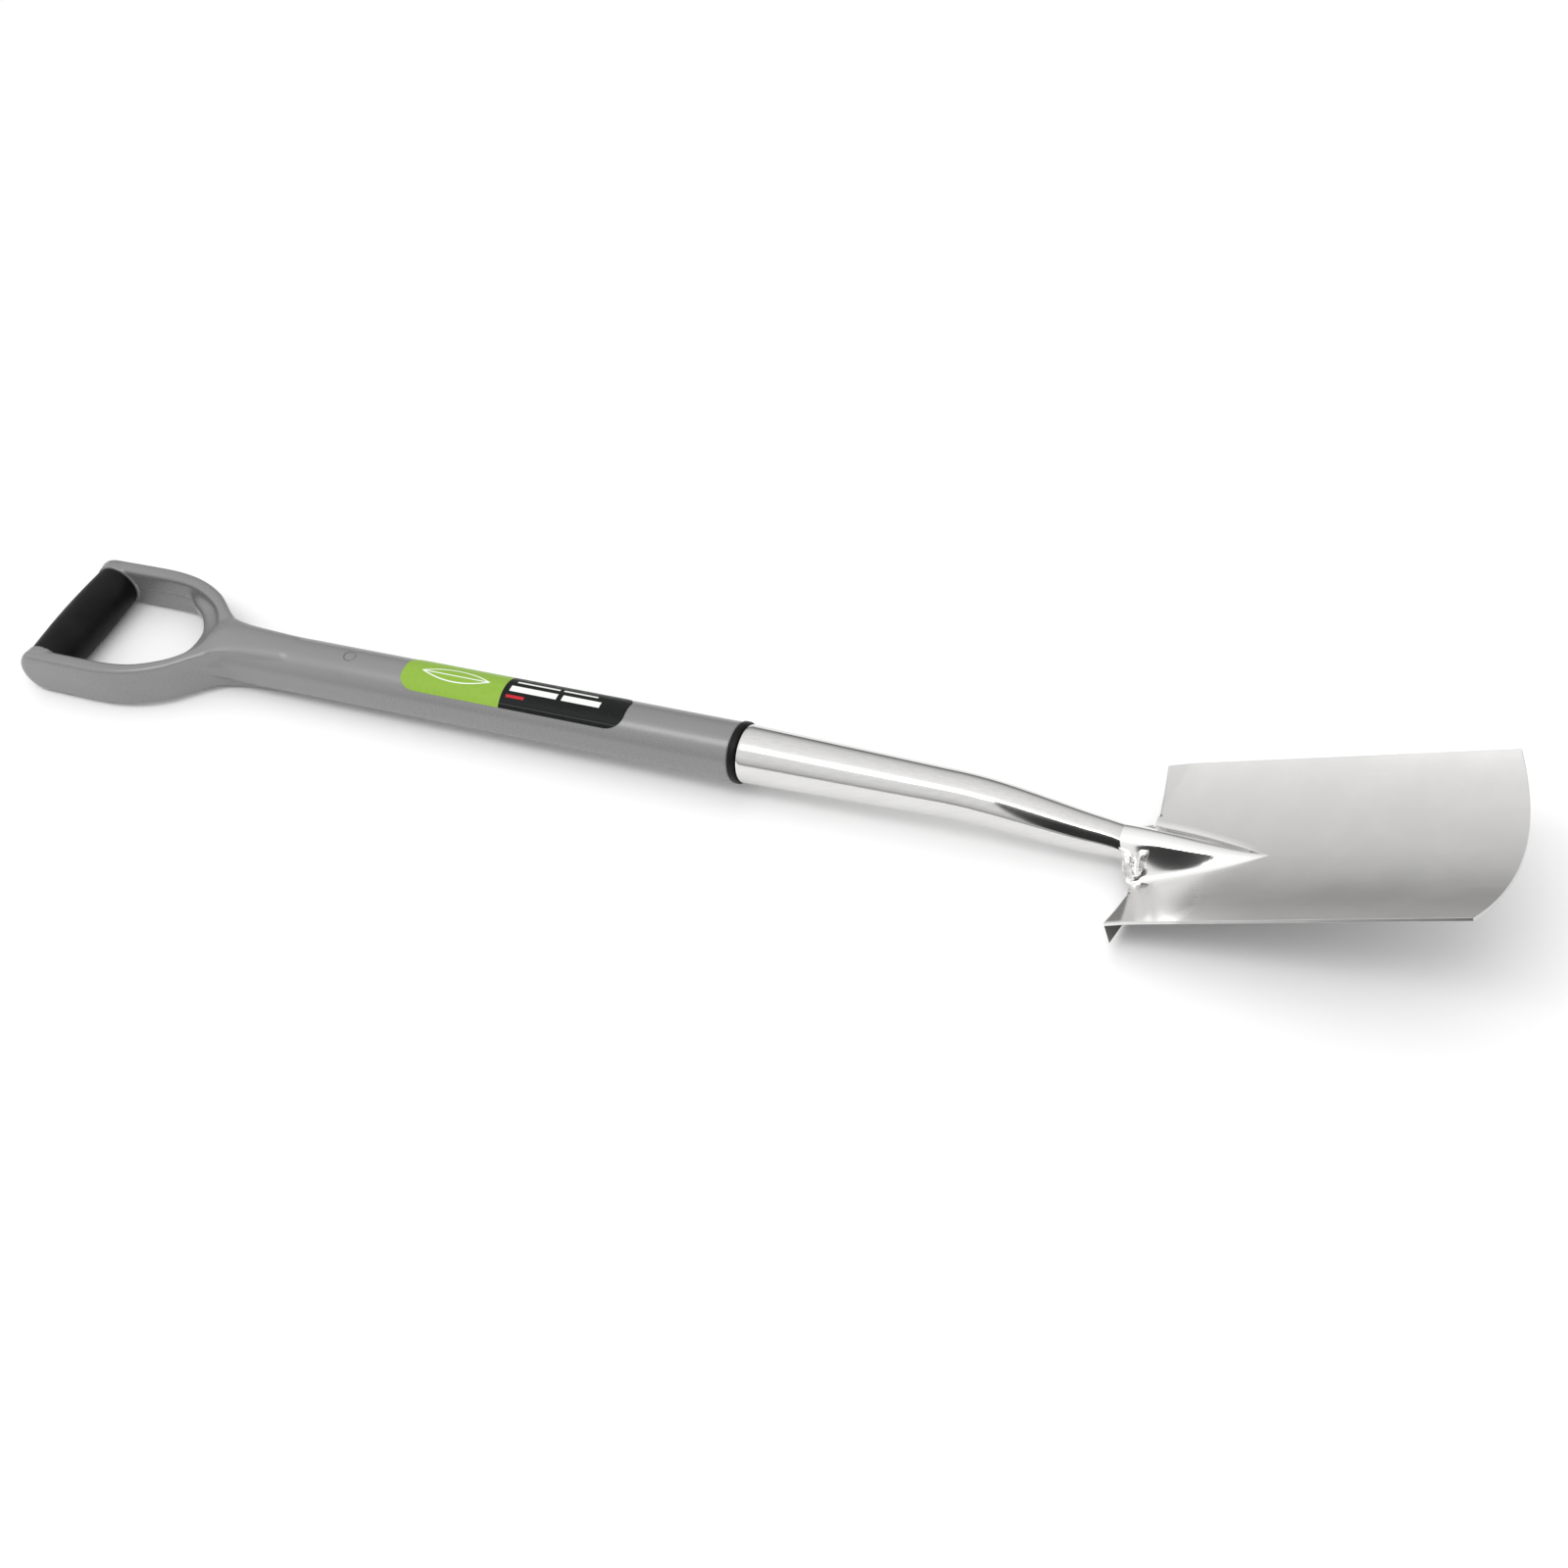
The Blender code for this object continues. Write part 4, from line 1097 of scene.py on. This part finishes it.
def make_label(mat):
    along_steps, around_steps = 160, 48
    low, high = SHAFT_RADIUS + 0.00008, SHAFT_RADIUS + 0.00033
    length = LABEL_END - LABEL_START
    rings, arcs = [], []
    for i in range(along_steps + 1):
        place = length * (0.5 - 0.5 * math.cos(math.pi * i / along_steps))
        half = label_half_angle(place)
        turns = [half * (2 * k / around_steps - 1) for k in range(around_steps + 1)]
        x = -(LABEL_START + place)
        top = [Vector((x, -high * math.sin(t), high * math.cos(t))) for t in turns]
        under = [Vector((x, -low * math.sin(t), low * math.cos(t))) for t in reversed(turns)]
        rings.append(top + under)
        arcs += [-t * high for t in turns] + [-t * high for t in reversed(turns)]
    verts, faces = loft(rings)
    label = make_piece("shaft_label", verts, faces, SHAFT_FRAME, mat, "label", 60)
    set_attribute(label, "arc", arcs)
    return label


# ---- stage ----

# Studio levels from the camera's horizon (0 degrees) over the top to the far horizon (180 degrees)
SKY = ((0, 0.42), (14, 0.75), (30, 0.92), (48, 0.98), (60, 1.20), (80, 1.22), (97, 1.10), (116, 1.00),
       (137, 0.88), (152, 0.74), (164, 0.45), (172, 0.25), (180, 0.15))
SKY_BELOW = 0.35


def stage_sheet(name, verts, steps, mat):
    """A stage piece over a square grid of points."""
    faces = []
    for i in range(steps):
        for j in range(steps):
            a = i * (steps + 1) + j
            faces.append((a, a + steps + 1, a + steps + 2, a + 1))
    sheet = new_object(name, verts, faces, verts, mat)
    return sheet


def make_floor():
    """A pale table top that ends just out of sight on the camera's side."""
    half = 7.0
    near, far = -0.8, 7.0
    steps = 14
    verts = []
    for i in range(steps + 1):
        for j in range(steps + 1):
            verts.append((half * (2 * i / steps - 1), near + (far - near) * j / steps, 0.0))
    shade = Shade("pale_floor", (0.93, 0.93, 0.93), 0.0, 0.6)
    shade.color(shade.mix(shade.noise(3, detail=3), (0.92, 0.92, 0.92), (0.95, 0.95, 0.95)))
    floor = stage_sheet("floor", verts, steps, shade.mat)
    floor.location.z = -0.0002


def make_world():
    """A white studio, brightest overhead and grey at the horizons."""
    world = bpy.data.worlds.new("studio")
    bpy.context.scene.world = world
    world.use_nodes = True
    nodes = Nodes(world.node_tree)
    _, y, z = nodes.split(nodes.node("ShaderNodeTexCoord").outputs["Generated"])
    turn = nodes.math("ARCTAN2", z, nodes.math("MULTIPLY", y, -1.0))
    sky = nodes.node("ShaderNodeValToRGB")
    sky.color_ramp.interpolation = "EASE"
    nodes.link(nodes.math("DIVIDE", turn, math.pi), sky.inputs[0])
    points = sky.color_ramp.elements
    while len(points) < len(SKY):
        points.new(0.5)
    for point, (angle, level) in zip(points, SKY):
        point.position = angle / 180
        point.color = (level / 2, level / 2, level / 2, 1)
    strength = nodes.math("MULTIPLY", sky.outputs["Color"], 2.0)
    below = nodes.ramp(z, SKY_BELOW - SKY[0][1], 0.0, -0.03, 0.0)
    back = world.node_tree.nodes["Background"]
    nodes.link(nodes.math("ADD", strength, below), back.inputs["Strength"])
    back.inputs["Color"].default_value = (1.0, 1.0, 1.0, 1)


def make_card():
    """A black card in front of the socket: it only shows in polished steel."""
    left, right, low, high, away = 0.168, 1.10, 0.125, 0.80, -0.38
    lean, foot_slope, lowest = 0.05, 0.6, 0.002
    steps = 12
    verts = []
    for i in range(steps + 1):
        for j in range(steps + 1):
            up = j / steps
            start = left + lean * (1 - up)
            x = start + (right - start) * (i / steps) ** 2
            foot = max(lowest, low - foot_slope * (x - left))
            verts.append((x, away, foot + (high - foot) * up))
    shade = Shade("black_card", (0.02, 0.02, 0.02), 0.0, 0.8)
    shade.color(shade.mix(shade.noise(8, detail=3), (0.015, 0.015, 0.015), (0.03, 0.03, 0.03)))
    card = stage_sheet("black_card", verts, steps, shade.mat)
    card.visible_camera = False
    card.visible_diffuse = False
    card.visible_shadow = False


def add_light(name, location, target, size, power):
    data = bpy.data.lights.new(name, "AREA")
    data.shape = "RECTANGLE"
    data.size, data.size_y = size
    data.energy = power
    light = bpy.data.objects.new(name, data)
    bpy.context.scene.collection.objects.link(light)
    light.location = location
    light.rotation_euler = (Vector(target) - Vector(location)).to_track_quat("-Z", "Y").to_euler()


def add_camera():
    data = bpy.data.cameras.new("camera")
    data.sensor_width = 36
    data.lens = 53.79
    camera = bpy.data.objects.new("camera", data)
    bpy.context.scene.collection.objects.link(camera)
    camera.location = (0.6145, -0.9498, 1.1026)
    camera.rotation_euler = [math.radians(a) for a in (44.66, 7.31, 23.01)]
    bpy.context.scene.camera = camera


def main():
    steel, tube, weld = blade_steel(), tube_steel(), weld_steel()
    plastic = shaft_plastic()
    make_blade(steel, blade_back_steel())
    make_socket(tube)
    make_flank_weld("right_weld", "weld_bead_right", -1, weld, 3, RIGHT_WELD_TOP)
    make_flank_weld("left_weld", "weld_bead_left", 1, weld, 8, LEFT_WELD_TOP)
    make_back_weld(weld)
    make_handle(plastic)
    make_grip(grip_rubber())
    make_ring(ring_rubber())
    make_plug(plastic)
    make_screw(screw_steel())
    make_label(label_film())
    make_floor()
    make_card()
    make_world()
    add_light("overhead_softbox", (-0.1, -0.8, 1.8), (0.0, 0.0, 0.0), (2.2, 0.6), 12)
    add_camera()
    bpy.context.scene.view_settings.view_transform = "Standard"


main()
bpy.context.view_layer.update()
